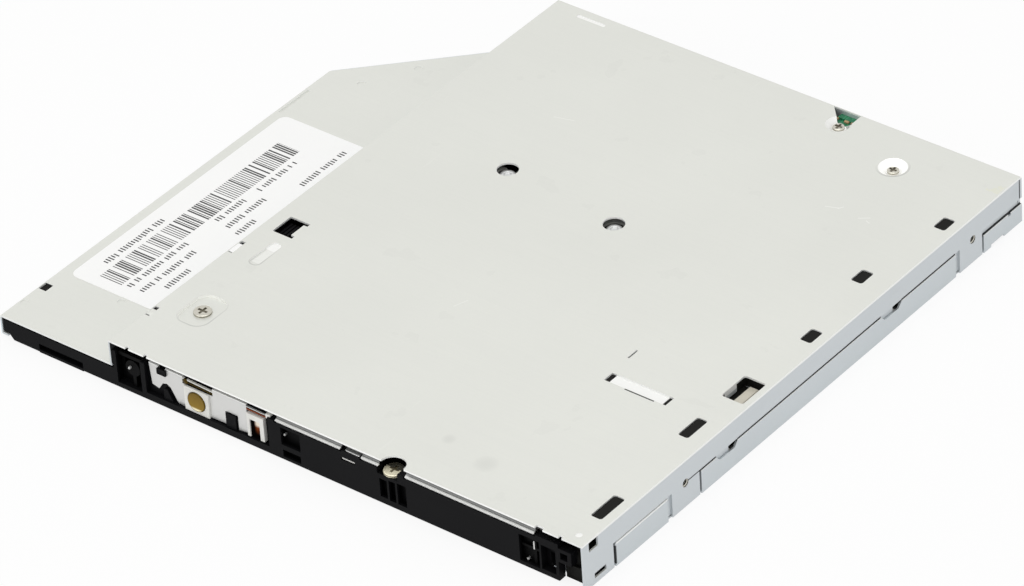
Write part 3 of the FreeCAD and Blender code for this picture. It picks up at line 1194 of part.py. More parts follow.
def guide_rod(v):
    """One guide rod of the pickup."""
    return on_traverse(bar(ROD_R, V(ROD_START, v, ROD_Z), ROD_END - ROD_START, ALONG_X))


def spindle_base():
    """Motor base with bearing tube and three legs on the chassis."""
    plate = disc(BASE_R, 0, 0, BASE_Z, BASE_Z + BASE_T)
    tube = ring(BEARING_R, SHAFT_R + PIN_FIT, 0, 0, BASE_Z - BEARING_LENGTH, BASE_Z)
    legs = []
    for k in range(3):
        leg = box(ROTOR_R + 2 * RUN_GAP, BASE_R + LEG_REACH, -LEG_HALF, LEG_HALF, CHASSIS_TOP, BASE_Z + BASE_T)
        leg.rotate(V(0, 0, 0), UP, 60.0 + 120.0 * k)
        legs.append(leg)
    return on_traverse(fuse([plate, tube] + legs))


def stator_core():
    """Laminated core with its teeth."""
    middle = (CHASSIS_TOP + ROTOR_TOP) / 2
    low, high = middle - CORE_HALF, middle + CORE_HALF
    pieces = [disc(BEARING_R + CORE_HUB, 0, 0, low, high)]
    for k in range(TOOTH_COUNT):
        tooth = box(BEARING_R + CORE_HUB / 2, TOOTH_R, -TOOTH_HALF, TOOTH_HALF, low, high)
        tip = box(TOOTH_R - TOOTH_TIP, TOOTH_R, -TOOTH_TIP_HALF, TOOTH_TIP_HALF, low, high)
        for piece in (tooth, tip):
            piece.rotate(V(0, 0, 0), UP, 360.0 * k / TOOTH_COUNT)
            pieces.append(piece)
    return on_traverse(fuse(pieces).cut(disc(BEARING_R + PIN_FIT, 0, 0, 0, HEIGHT)))


def stator_coils():
    """Windings on the teeth."""
    middle = (CHASSIS_TOP + ROTOR_TOP) / 2
    inner = BEARING_R + CORE_HUB + 4 * COIL_INSET
    outer = TOOTH_R - TOOTH_TIP - COIL_INSET
    slot = TOOTH_HALF + PIN_FIT
    slot_high = CORE_HALF + PIN_FIT
    coils = []
    for k in range(TOOTH_COUNT):
        coil = box(inner, outer, -COIL_HALF, COIL_HALF, middle - COIL_HIGH, middle + COIL_HIGH)
        coil = coil.cut(box(0, 2 * outer, -slot, slot, middle - slot_high, middle + slot_high))
        coil.rotate(V(0, 0, 0), UP, 360.0 * k / TOOTH_COUNT)
        coils.append(on_traverse(coil))
    return Part.makeCompound(coils)


def rotor():
    """Turntable, hub nose, rotor can and shaft in one turned part."""
    can_low = TURNTABLE_Z + TURNTABLE_T
    can_floor = can_low + ROTOR_FLOOR
    shaft_end = BASE_Z - 2 * SEAM
    profile = [(0, HUB_Z), (HUB_R - HUB_CHAMFER, HUB_Z), (HUB_R, HUB_Z + HUB_CHAMFER), (HUB_R, TURNTABLE_Z),
               (TURNTABLE_R, TURNTABLE_Z), (TURNTABLE_R, can_low), (ROTOR_R, can_low), (ROTOR_R, ROTOR_TOP),
               (ROTOR_R - ROTOR_WALL, ROTOR_TOP), (ROTOR_R - ROTOR_WALL, can_floor), (SHAFT_R, can_floor),
               (SHAFT_R, shaft_end), (0, shaft_end)]
    body = turned(profile)
    side = CLAW_WIDTH / 2 + CLAW_PLAY
    for k in range(CLAW_COUNT):
        slot = box(CLAW_INNER - CLAW_REACH - CLAW_PLAY, HUB_R + OVERCUT, -side, side, CLAW_Z - CLAW_PLAY,
                   CLAW_Z + CLAW_T + CLAW_PLAY)
        slot.rotate(V(0, 0, 0), UP, 360.0 * k / CLAW_COUNT)
        body = body.cut(slot)
    return on_traverse(body)


def chuck_claw(index):
    """One sprung claw in the hub nose, with a sloped outer end."""
    inner = CLAW_INNER
    outer = HUB_R + CLAW_REACH
    claw = front_prism([(inner, CLAW_Z), (HUB_R - 0.2, CLAW_Z), (outer, CLAW_Z + CLAW_T * 0.6),
                        (outer - 0.2, CLAW_Z + CLAW_T), (inner, CLAW_Z + CLAW_T)],
                       -CLAW_WIDTH / 2, CLAW_WIDTH / 2)
    claw.rotate(V(0, 0, 0), UP, 360.0 * index / CLAW_COUNT)
    return on_traverse(claw)


def disc_pad():
    """Rubber ring that grips the disc."""
    outer = TURNTABLE_R - PAD_INSET
    return on_traverse(ring(outer, outer - PAD_WIDTH, 0, 0, TURNTABLE_Z - PAD_T, TURNTABLE_Z))


def feed_motor():
    """Flat-sided stepping motor with its end plate."""
    can = bar(MOTOR_R, V(MOTOR_START, LEAD_V, LEAD_Z), MOTOR_LENGTH, ALONG_X)
    slab = box(MOTOR_START, MOTOR_START + MOTOR_LENGTH, LEAD_V - MOTOR_HALF, LEAD_V + MOTOR_HALF,
               CHASSIS_TOP, MOTOR_TOP)
    bore = bar(LEAD_R + PIN_FIT, V(MOTOR_START + MOTOR_LENGTH - 2, LEAD_V, LEAD_Z), 4, ALONG_X)
    return on_traverse(can.common(slab).cut(bore))


def lead_screw():
    """Lead screw from the motor to its end bearing, with turned grooves."""
    motor_end = MOTOR_START + MOTOR_LENGTH
    start = motor_end - BEARING_BLOCK
    screw_bar = bar(LEAD_R, V(start, LEAD_V, LEAD_Z), LEAD_END - start, ALONG_X)
    first = motor_end + OVERCUT
    count = int((LEAD_END - BEARING_BLOCK - LEAD_GROOVE - first) / LEAD_PITCH) + 1
    grooves = []
    for k in range(count):
        origin = V(first + LEAD_PITCH * k, LEAD_V, LEAD_Z)
        collar = bar(LEAD_R + OVERCUT, origin, LEAD_GROOVE, ALONG_X)
        grooves.append(collar.cut(bar(LEAD_R - LEAD_GROOVE_DEPTH, origin, LEAD_GROOVE, ALONG_X)))
    return on_traverse(screw_bar.cut(grooves))


def pickup_base():
    """Pickup casting with two bushes on the main rod and a fork on the sub rod."""
    near = LENS_U - PICKUP_BACK
    far = LENS_U + PICKUP_FRONT
    body = box(near, far, -PICKUP_HALF, PICKUP_HALF, PICKUP_LOW, PICKUP_HIGH)
    body = body.cut(disc(TURNTABLE_R + PICKUP_GAP, 0, 0, 0, HEIGHT))
    bush_r = ROD_R + BUSH_WALL
    arm_low = ROD_Z - ROD_R
    arm_high = ROD_Z + ROD_R
    side = PICKUP_HALF - PICKUP_COVER_INSET
    pieces = [body]
    for u in (near + BUSH_LENGTH / 3, LENS_U - NUT_BACK + NUT_LENGTH):
        pieces.append(bar(bush_r, V(u, ROD_V, ROD_Z), BUSH_LENGTH, ALONG_X))
        pieces.append(box(u, u + BUSH_LENGTH, side, ROD_V, arm_low, arm_high))
    fork = LENS_U - NUT_BACK
    pieces.append(box(fork, fork + BUSH_LENGTH, -ROD_V - bush_r, -side, arm_low - BUSH_WALL / 2, ROD_Z + bush_r))
    roof_high = NUT_ROOF_LOW + NUT_ROOF_T
    pieces.append(box(fork, fork + NUT_LENGTH, side - OVERCUT, LEAD_V, NUT_ROOF_LOW, roof_high))
    pieces.append(box(fork, fork + NUT_LENGTH, side - OVERCUT, PICKUP_HALF, PICKUP_HIGH - SEAM, roof_high))
    slack = ROD_R + SEAM
    cuts = [
        bar(ROD_R + PIN_FIT, V(0, ROD_V, ROD_Z), 2 * LENS_U, ALONG_X),
        box(fork - OVERCUT, fork + BUSH_LENGTH + OVERCUT, -ROD_V - 2 * bush_r, -ROD_V + slack, ROD_Z - slack,
            ROD_Z + slack),
        box(LENS_U - ACTUATOR_BACK, far + OVERCUT, -ACTUATOR_HALF, ACTUATOR_HALF, PICKUP_LOW - OVERCUT, PICKUP_ROOF),
    ]
    return on_traverse(fuse(pieces).cut(cuts))


def pickup_cover():
    """Sheet cover over the pickup's disc side."""
    low = PICKUP_LOW - PICKUP_COVER_T
    half = PICKUP_HALF - PICKUP_COVER_INSET
    far = LENS_U + PICKUP_FRONT
    inner = ACTUATOR_HALF - PICKUP_COVER_RIM
    cover = box(LENS_U - PICKUP_COVER_BACK, far, -half, half, low, PICKUP_LOW)
    opening = box(LENS_U - ACTUATOR_BACK, far + OVERCUT, -inner, inner, low - OVERCUT, HEIGHT)
    return on_traverse(cover.cut(opening))


def feed_nut():
    """Nut that couples pickup and lead screw."""
    start = LENS_U - NUT_BACK
    nut = box(start, start + NUT_LENGTH, ROD_V + ROD_R + RUN_GAP, LEAD_V + NUT_HALF, LEAD_Z - NUT_HALF,
              NUT_ROOF_LOW)
    return on_traverse(nut.cut(bar(LEAD_R + PIN_FIT, V(0, LEAD_V, LEAD_Z), 2 * LENS_U, ALONG_X)))


def actuator_magnets():
    """Two magnets beside the lens holder."""
    half_u = MAGNET_LENGTH / 2
    half_v = MAGNET_WIDTH / 2
    return Part.makeCompound([
        on_traverse(box(LENS_U - half_u, LENS_U + half_u, side * MAGNET_V - half_v, side * MAGNET_V + half_v,
                        MAGNET_LOW, PICKUP_ROOF)) for side in (-1, 1)])


def lens_holder():
    """Moving lens holder with its bore."""
    holder = rounded(LENS_U - HOLDER_HALF_U, LENS_U + HOLDER_HALF_U, -HOLDER_HALF_V, HOLDER_HALF_V, HOLDER_LOW,
                     HOLDER_HIGH, HOLDER_CORNER)
    return on_traverse(holder.cut(disc(LENS_R, LENS_U, 0, 0, HEIGHT)))


def objective_lens():
    """Objective lens, domed towards the disc."""
    lens = disc(LENS_R, LENS_U, 0, LENS_EDGE, LENS_BACK)
    cap = disc(LENS_R - 2 * SEAM, LENS_U, 0, LENS_FACE - SEAM, LENS_EDGE + 2 * PAD_T)
    dome = Part.makeSphere(LENS_DOME_R, V(LENS_U, 0, LENS_FACE + LENS_DOME_R)).common(cap)
    return on_traverse(fuse([lens, dome]))


def latch_lever():
    """Lever whose toe hooks behind the latch post."""
    px, py = LEVER_PIVOT[0], back(LEVER_PIVOT[1])
    nx, ny = LEVER_PIN[0], back(LEVER_PIN[1])
    top = LEVER_Z + LEVER_T
    half = LEVER_WIDTH / 2
    toe_front = back(LATCH_BACK) + POST_R + RUN_GAP
    toe_back = toe_front + LEVER_TOE
    arm = prism([(px - half, py), (px + half, py), (nx + half, toe_front), (nx - half, toe_front)], LEVER_Z, top)
    toe = prism([(LATCH_X - POST_R / 3, toe_front), (nx + half, toe_front), (nx + half, toe_back),
                 (LATCH_X + POST_R * 2 / 3, toe_back)], LEVER_Z, top)
    pin = disc(LEVER_PIN_R, nx, ny, PLUNGER_Z - PLUNGER_R, LEVER_Z)
    boss = disc(2 * PIVOT_R, px, py, LEVER_Z, top)
    return fuse([arm, toe, pin, boss]).cut(disc(PIVOT_R + PIN_FIT, px, py, 0, HEIGHT))


def solenoid():
    """Latch solenoid with the bore for its plunger."""
    y = back(LEVER_PIN[1])
    half = SOLENOID_WIDTH / 2
    body = box(SOLENOID_LEFT, SOLENOID_LEFT + SOLENOID_LENGTH, y - half, y + half, TRAY_FLOOR_TOP,
               TRAY_FLOOR_TOP + SOLENOID_HEIGHT)
    return body.cut(bar(PLUNGER_R + PIN_FIT * 2, V(SOLENOID_LEFT - OVERCUT, y, PLUNGER_Z),
                        SOLENOID_LENGTH + 0.2, ALONG_X))


def solenoid_plunger():
    """Plunger with a slotted head round the lever's pin."""
    x, y = LEVER_PIN[0], back(LEVER_PIN[1])
    half = PLUNGER_HEAD / 2
    slot_x = LEVER_PIN_R + PLUNGER_SLOT
    slot_y = slot_x + PLUNGER_SLOT
    head = box(x - half, x + half, y - half, y + half, PLUNGER_Z - PLUNGER_R, LEVER_Z - RUN_GAP)
    slot = box(x - slot_x, x + slot_x, y - slot_y, y + slot_y, 0, HEIGHT)
    end = SOLENOID_LEFT + SOLENOID_LENGTH - PLUNGER_STROKE - 2 * OVERCUT
    start = x + half - SEAM
    return fuse([head.cut(slot), bar(PLUNGER_R, V(start, y, PLUNGER_Z), end - start, ALONG_X)])


def switch_bracket():
    """Sheet bracket behind the eject switch and the indicator."""
    outline = [(STEP_X + x, z) for x, z in BRACKET_SHAPE]
    return front_prism(outline, back(BRACKET_FRONT), back(BRACKET_FRONT + BRACKET_T))


def eject_switch_body():
    """Switch body with the bore of its dome, standing on the ledge of the tray front."""
    half = SWITCH_WIDTH / 2
    front = back(BRACKET_FRONT - SWITCH_T)
    body = box(SWITCH_X - half, SWITCH_X + half, front, back(BRACKET_FRONT), LEDGE_TOP, SWITCH_TOP)
    bore = bar(DOME_R + DOME_PLAY, V(SWITCH_X, front - OVERCUT, SWITCH_Z), OVERCUT + SWITCH_T - SWITCH_BACK, ALONG_Y)
    return body.cut(bore)


def eject_dome():
    """Domed metal button of the eject switch."""
    start = back(BRACKET_FRONT - SWITCH_T - DOME_PROUD)
    dome = bar(DOME_R, V(SWITCH_X, start, SWITCH_Z), DOME_H, ALONG_Y)
    rim = [e for e in dome.Edges if e.Closed and e.BoundBox.YMax < start + 1e-3]
    return dome.makeFillet(DOME_PROUD * 0.8, rim)


def indicator_lamp():
    """White lamp housing shaped as an upside-down U."""
    body = box(LAMP_LEFT, LAMP_RIGHT, back(BRACKET_FRONT - SWITCH_T), back(BRACKET_FRONT + BRACKET_T),
               LAMP_LOW, LAMP_HIGH)
    return body.cut(box(LAMP_WINDOW_LEFT, LAMP_WINDOW_RIGHT, FRONT - OVERCUT,
                        back(BRACKET_FRONT + BRACKET_T + OVERCUT), 0, LAMP_WINDOW_TOP))


def lamp_window():
    """Amber window of the indicator."""
    return box(LAMP_WINDOW_LEFT, LAMP_WINDOW_RIGHT, back(BRACKET_FRONT - 2 * SEAM), back(BRACKET_FRONT + BRACKET_T),
               LAMP_LOW + 2 * CONTACT_T, LAMP_WINDOW_TOP)


def all_parts():
    """Every node of the drive by name."""
    parts = {
        "bottom_case": bottom_case(),
        "top_case": top_case(),
        "label": label(),
        "latch_post": latch_post(),
        "case_screws": case_screws(),
        "main_board": main_board(),
        "board_nuts": board_nuts(),
        "controller_chip": chip(CONTROLLER),
        "driver_chip": chip(DRIVER),
        "board_capacitors": board_capacitors(),
        "board_flex_socket": flex_socket(BOARD_SOCKET_Y, BOARD_UNDER - SOCKET_H, BOARD_UNDER),
        "sata_connector": sata_connector(),
        "sata_contacts": sata_contacts(),
        "rail_guide_right": rail_guide_right(),
        "slide_rail_right": slide_rail_right(),
        "slide_rail_left": slide_rail_left(),
        "flex_cable": flex_run(flex_points()),
        "tray": tray(),
        "under_plate": under_plate(),
        "tray_screws": tray_screws(),
        "tray_flex_socket": flex_socket(TRAY_SOCKET_Y, TRAY_FLOOR_TOP, TRAY_FLOOR_TOP + TRAY_SOCKET_H),
        "traverse_chassis": traverse_chassis(),
        "damper_bushes": damper_bushes(),
        "damper_screws": damper_screws(),
        "guide_rod_main": guide_rod(ROD_V),
        "guide_rod_sub": guide_rod(-ROD_V),
        "spindle_base": spindle_base(),
        "stator_core": stator_core(),
        "stator_coils": stator_coils(),
        "rotor": rotor(),
        "disc_pad": disc_pad(),
        "feed_motor": feed_motor(),
        "lead_screw": lead_screw(),
        "pickup_base": pickup_base(),
        "pickup_cover": pickup_cover(),
        "feed_nut": feed_nut(),
        "actuator_magnets": actuator_magnets(),
        "lens_holder": lens_holder(),
        "objective_lens": objective_lens(),
        "latch_lever": latch_lever(),
        "solenoid": solenoid(),
        "solenoid_plunger": solenoid_plunger(),
        "switch_bracket": switch_bracket(),
        "eject_switch_body": eject_switch_body(),
        "eject_dome": eject_dome(),
        "indicator_lamp": indicator_lamp(),
        "lamp_window": lamp_window(),
    }
    for index in range(CLAW_COUNT):
        parts["chuck_claw_%d" % (index + 1)] = chuck_claw(index)
    return parts


os.makedirs("parts", exist_ok=True)
for name, shape in all_parts().items():
    shape.exportStep("parts/%s.step" % name)
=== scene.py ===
"""Looks of a slim tray-loading disc writer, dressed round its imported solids, in metres."""

import json
import logging
import math
from abc import ABC, abstractmethod
from dataclasses import dataclass
from enum import Enum
from typing import Callable, ClassVar, Mapping, Sequence, Union

import bmesh
import bpy
from mathutils import Matrix, Vector

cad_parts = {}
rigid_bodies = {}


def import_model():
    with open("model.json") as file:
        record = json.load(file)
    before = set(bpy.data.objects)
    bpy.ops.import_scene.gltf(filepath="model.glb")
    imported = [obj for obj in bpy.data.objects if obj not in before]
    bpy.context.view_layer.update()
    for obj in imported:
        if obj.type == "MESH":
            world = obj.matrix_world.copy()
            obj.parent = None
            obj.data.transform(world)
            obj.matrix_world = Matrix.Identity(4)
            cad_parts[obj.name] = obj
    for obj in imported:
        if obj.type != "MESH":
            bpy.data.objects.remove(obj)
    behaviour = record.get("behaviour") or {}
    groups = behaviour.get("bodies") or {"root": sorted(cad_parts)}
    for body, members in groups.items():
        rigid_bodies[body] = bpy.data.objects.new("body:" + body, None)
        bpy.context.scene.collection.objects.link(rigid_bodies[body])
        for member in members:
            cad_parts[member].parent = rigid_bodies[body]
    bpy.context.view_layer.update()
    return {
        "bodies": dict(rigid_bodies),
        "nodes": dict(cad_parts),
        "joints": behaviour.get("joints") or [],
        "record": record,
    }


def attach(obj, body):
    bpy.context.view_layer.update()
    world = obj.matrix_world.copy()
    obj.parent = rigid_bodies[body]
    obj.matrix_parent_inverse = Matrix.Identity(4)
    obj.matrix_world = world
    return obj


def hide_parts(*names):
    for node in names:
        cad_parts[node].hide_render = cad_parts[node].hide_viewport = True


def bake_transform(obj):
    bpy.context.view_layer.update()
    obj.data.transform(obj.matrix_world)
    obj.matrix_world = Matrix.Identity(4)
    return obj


LOG = logging.getLogger("disc_writer")
MM = 0.001
IMAGE_WIDTH = 1024
SENSOR_WIDTH = 36.0
WELD = 0.0000005
SMOOTH_ANGLE = 32.0
ALIGNED = 0.9

Colour = tuple[float, float, float, float]
Point = tuple[float, float, float]
Place = tuple[float, float]
Piece = bpy.types.Object
Material = bpy.types.Material
WHITE: Colour = (1.0, 1.0, 1.0, 1.0)


def paint(red: int, green: int, blue: int) -> Colour:
    """Linear colour of a display colour given in 0 to 255."""
    parts = [c / 255.0 for c in (red, green, blue)]
    linear = [c / 12.92 if c <= 0.04045 else ((c + 0.055) / 1.055) ** 2.4 for c in parts]
    return (linear[0], linear[1], linear[2], 1.0)


def joining(operation: str) -> Callable[..., "Wire"]:
    """A method that joins a wire and another term by a Math node.

    Args:
        operation: Name of the operation.

    Returns:
        The method.
    """
    def joined(wire: "Wire", other: "Term" = 0.0) -> "Wire":
        """The result as a new wire."""
        return wire.nodes.node("ShaderNodeMath", {"operation": operation}, {0: wire, 1: other})
    return joined


class Wire:
    """A shader socket that takes part in Python sums."""

    __add__ = __radd__ = joining("ADD")
    __mul__ = __rmul__ = joining("MULTIPLY")
    __sub__ = joining("SUBTRACT")
    __truediv__ = joining("DIVIDE")
    __gt__ = joining("GREATER_THAN")
    __lt__ = joining("LESS_THAN")
    most = joining("MAXIMUM")
    step = joining("FLOOR")
    rest = joining("FRACT")
    root = joining("SQRT")
    size = joining("ABSOLUTE")

    def __init__(self, nodes: "Nodes", socket: bpy.types.NodeSocket) -> None:
        """Keep the socket and the tree it belongs to."""
        self.nodes = nodes
        self.socket = socket

    def __rsub__(self, other: "Term") -> "Wire":
        """Reflected difference."""
        return self.nodes.node("ShaderNodeMath", {"operation": "SUBTRACT"}, {0: other, 1: self})

    def clamped(self) -> "Wire":
        """Value kept between 0 and 1."""
        return self.nodes.node("ShaderNodeClamp", None, {0: self})

    def parts(self) -> list["Wire"]:
        """The three numbers of a vector."""
        split = self.nodes.node("ShaderNodeSeparateXYZ", None, {0: self})
        return [Wire(self.nodes, out) for out in split.socket.node.outputs]

    def between(self, low: float, high: float) -> "Wire":
        """1 where this lies between two numbers."""
        return (self > low) * (self < high)


Term = Union[Wire, float, int, Sequence[float]]
Sockets = Mapping[Union[str, int], Term]


def varied(base: Term, *shares: tuple[float, Wire]) -> Wire:
    """A value that noises round 0.5 move up and down, each by its share."""
    value = base
    for share, noise in shares:
        value = value + share * (noise - 0.5)
    return value


class Nodes:
    """A node tree with one method that makes nodes."""

    def __init__(self, tree: bpy.types.NodeTree) -> None:
        """Start with an empty tree."""
        self.tree = tree
        tree.nodes.clear()

    def node(self, kind: str, settings: Mapping[str, object] | None = None,
             inputs: Sockets | None = None, output: Union[str, int] = 0) -> Wire:
        """Add one node.

        Args:
            kind: Node type.
            settings: Properties of the node, set first.
            inputs: Values or wires of its sockets.
            output: Which output comes back.

        Returns:
            The output as a wire.
        """
        made = self.tree.nodes.new(kind)
        for key, value in (settings or {}).items():
            setattr(made, key, value)
        for key, value in (inputs or {}).items():
            if isinstance(value, Wire):
                self.tree.links.new(value.socket, made.inputs[key])
            else:
                made.inputs[key].default_value = value
        return Wire(self, made.outputs[output])

    def end(self, kind: str, surface: Wire) -> None:
        """Send a surface to the tree's output."""
        out = self.tree.nodes.new(kind)
        self.tree.links.new(surface.socket, out.inputs["Surface"])


class Shader(Nodes):
    """A material on the drive's own place in millimetres."""

    def __init__(self, name: str) -> None:
        """Start an empty material."""
        self.material = bpy.data.materials.new(name)
        self.material.use_nodes = True
        super().__init__(self.material.node_tree)
        place = self.node("ShaderNodeTexCoord", output="Object")
        scale = {"operation": "SCALE"}
        self.mm = self.node("ShaderNodeVectorMath", scale, {0: place, "Scale": 1.0 / MM})

    def axes(self) -> list[Wire]:
        """Place across, along and up, in millimetres."""
        return self.mm.parts()

    def slope(self) -> Wire:
        """0 on level faces and 1 on upright ones."""
        return 1.0 - self.node("ShaderNodeNewGeometry", output="Normal").parts()[2].size()

    def stretched(self, scale: Point) -> Wire:
        """Place with its axes scaled apart."""
        return self.node("ShaderNodeMapping", None, {"Vector": self.mm, "Scale": scale})

    def noise(self, scale: float, detail: float = 3.0, rough: float = 0.55,
              place: Wire | None = None) -> Wire:
        """Cloud noise about 0.5, in clouds per millimetre, octaves and the weight of the finer ones."""
        inputs = {"Vector": place or self.mm, "Scale": scale, "Detail": detail, "Roughness": rough}
        return self.node("ShaderNodeTexNoise", None, inputs)

    def rings(self, radius: Wire, scale: float) -> Wire:
        """Noise in rings round an axis."""
        return self.node("ShaderNodeTexNoise", {"noise_dimensions": "1D"}, {"W": radius, "Scale": scale})

    def chance(self, *parts: Term) -> Wire:
        """One random number per set of whole numbers."""
        terms = list(parts) + [0.0] * (3 - len(parts))
        place = self.node("ShaderNodeCombineXYZ", None, dict(enumerate(terms)))
        return self.node("ShaderNodeTexWhiteNoise", {"noise_dimensions": "3D"}, {"Vector": place})

    def mix(self, factor: Term, first: Term, second: Term, blend: str = "MIX") -> Wire:
        """Blend two colours by the share of the second."""
        settings = {"data_type": "RGBA", "blend_type": blend}
        return self.node("ShaderNodeMix", settings, {0: factor, 6: first, 7: second}, output=2)

    def toned(self, colour: Term, tone: Wire) -> Wire:
        """Colour times a grey tone."""
        return self.mix(1.0, colour, tone, "MULTIPLY")

    def bump(self, height: Wire, depth: float, strength: float) -> Wire:
        """Normal from a height of 0 to 1, whose depth is in millimetres."""
        inputs = {"Strength": strength, "Distance": depth * MM, "Height": height}
        return self.node("ShaderNodeBump", None, inputs, output="Normal")

    def close(self, inputs: Sockets) -> Material:
        """End in a Principled surface and give the material out."""
        self.end("ShaderNodeOutputMaterial", self.node("ShaderNodeBsdfPrincipled", None, inputs))
        return self.material


@dataclass(frozen=True)
class Finish(ABC):
    """One finish of the drive."""

    name: str

    @abstractmethod
    def surface(self, s: Shader) -> Sockets:
        """Values and wires of the surface."""

    def make(self) -> Material:
        """Build the material."""
        s = Shader(self.name)
        return s.close(self.surface(s))


@dataclass(frozen=True)
class Patch:
    """A box of the drive that a mark lies in, in millimetres."""

    low: Point
    high: Point

    def mask(self, axes: Sequence[Wire]) -> Wire:
        """1 inside the box."""
        inside = axes[0].between(self.low[0], self.high[0])
        for place, low, high in zip(axes[1:], self.low[1:], self.high[1:]):
            inside = inside * place.between(low, high)
        return inside


def union(patches: Sequence[Patch], axes: Sequence[Wire]) -> Wire:
    """1 inside any of the boxes."""
    inside = axes[2] * 0.0
    for patch in patches:
        inside = inside.most(patch.mask(axes))
    return inside


class Mark(ABC):
    """A mark on the plate: how much of it shows, and whether it is bright or dark."""

    share: ClassVar[float]
    bright: ClassVar[bool] = False

    @abstractmethod
    def mask(self, axes: Sequence[Wire]) -> Wire:
        """Where the mark lies, from 0 to 1."""


@dataclass(frozen=True)
class Scratch(Mark):
    """A short straight mark: place, length and width in millimetres, turn in degrees."""

    place: Place
    length: float
    turn: float
    width: float = 0.22
    share: ClassVar[float] = 0.35
    bright: ClassVar[bool] = True

    def mask(self, axes: Sequence[Wire]) -> Wire:
        """1 on the mark."""
        turn = math.radians(self.turn)
        across = axes[0] - self.place[0]
        along = axes[1] - self.place[1]
        run = across * math.cos(turn) + along * math.sin(turn)
        side = along * math.cos(turn) - across * math.sin(turn)
        length, width = self.length / 2, self.width / 2
        return run.between(-length, length) * side.between(-width, width)


@dataclass(frozen=True)
class Smudge(Mark):
    """A soft round mark, in millimetres."""

    place: Place
    radius: float
    share: ClassVar[float] = 0.08

    def mask(self, axes: Sequence[Wire]) -> Wire:
        """1 in the middle and 0 at the rim."""
        across = (axes[0] - self.place[0]) / self.radius
        along = (axes[1] - self.place[1]) / self.radius
        return (1.0 - across * across - along * along).most(0.0)


@dataclass(frozen=True)
class Rim(Mark):
    """Painted shade on the front edge of a rounded pressing: middle, half sizes, corner and width in
    millimetres.
    """

    place: Place
    half: Place
    corner: float
    width: float = 0.26
    share: ClassVar[float] = 0.22

    def mask(self, axes: Sequence[Wire]) -> Wire:
        """Where the painted shade lies as the edge turns down, strongest on the side that looks to the
        front right.
        """
        offsets = [axis - middle for axis, middle in zip(axes, self.place)]
        flats = [half - self.corner for half in self.half]
        past = [(offset.size() - flat).most(0.0) for offset, flat in zip(offsets, flats)]
        away = (past[0] * past[0] + past[1] * past[1]).root() - self.corner
        front = ((offsets[0] - offsets[1]) / sum(self.half) + 0.3).clamped()
        return away.between(0.0, self.width) * front


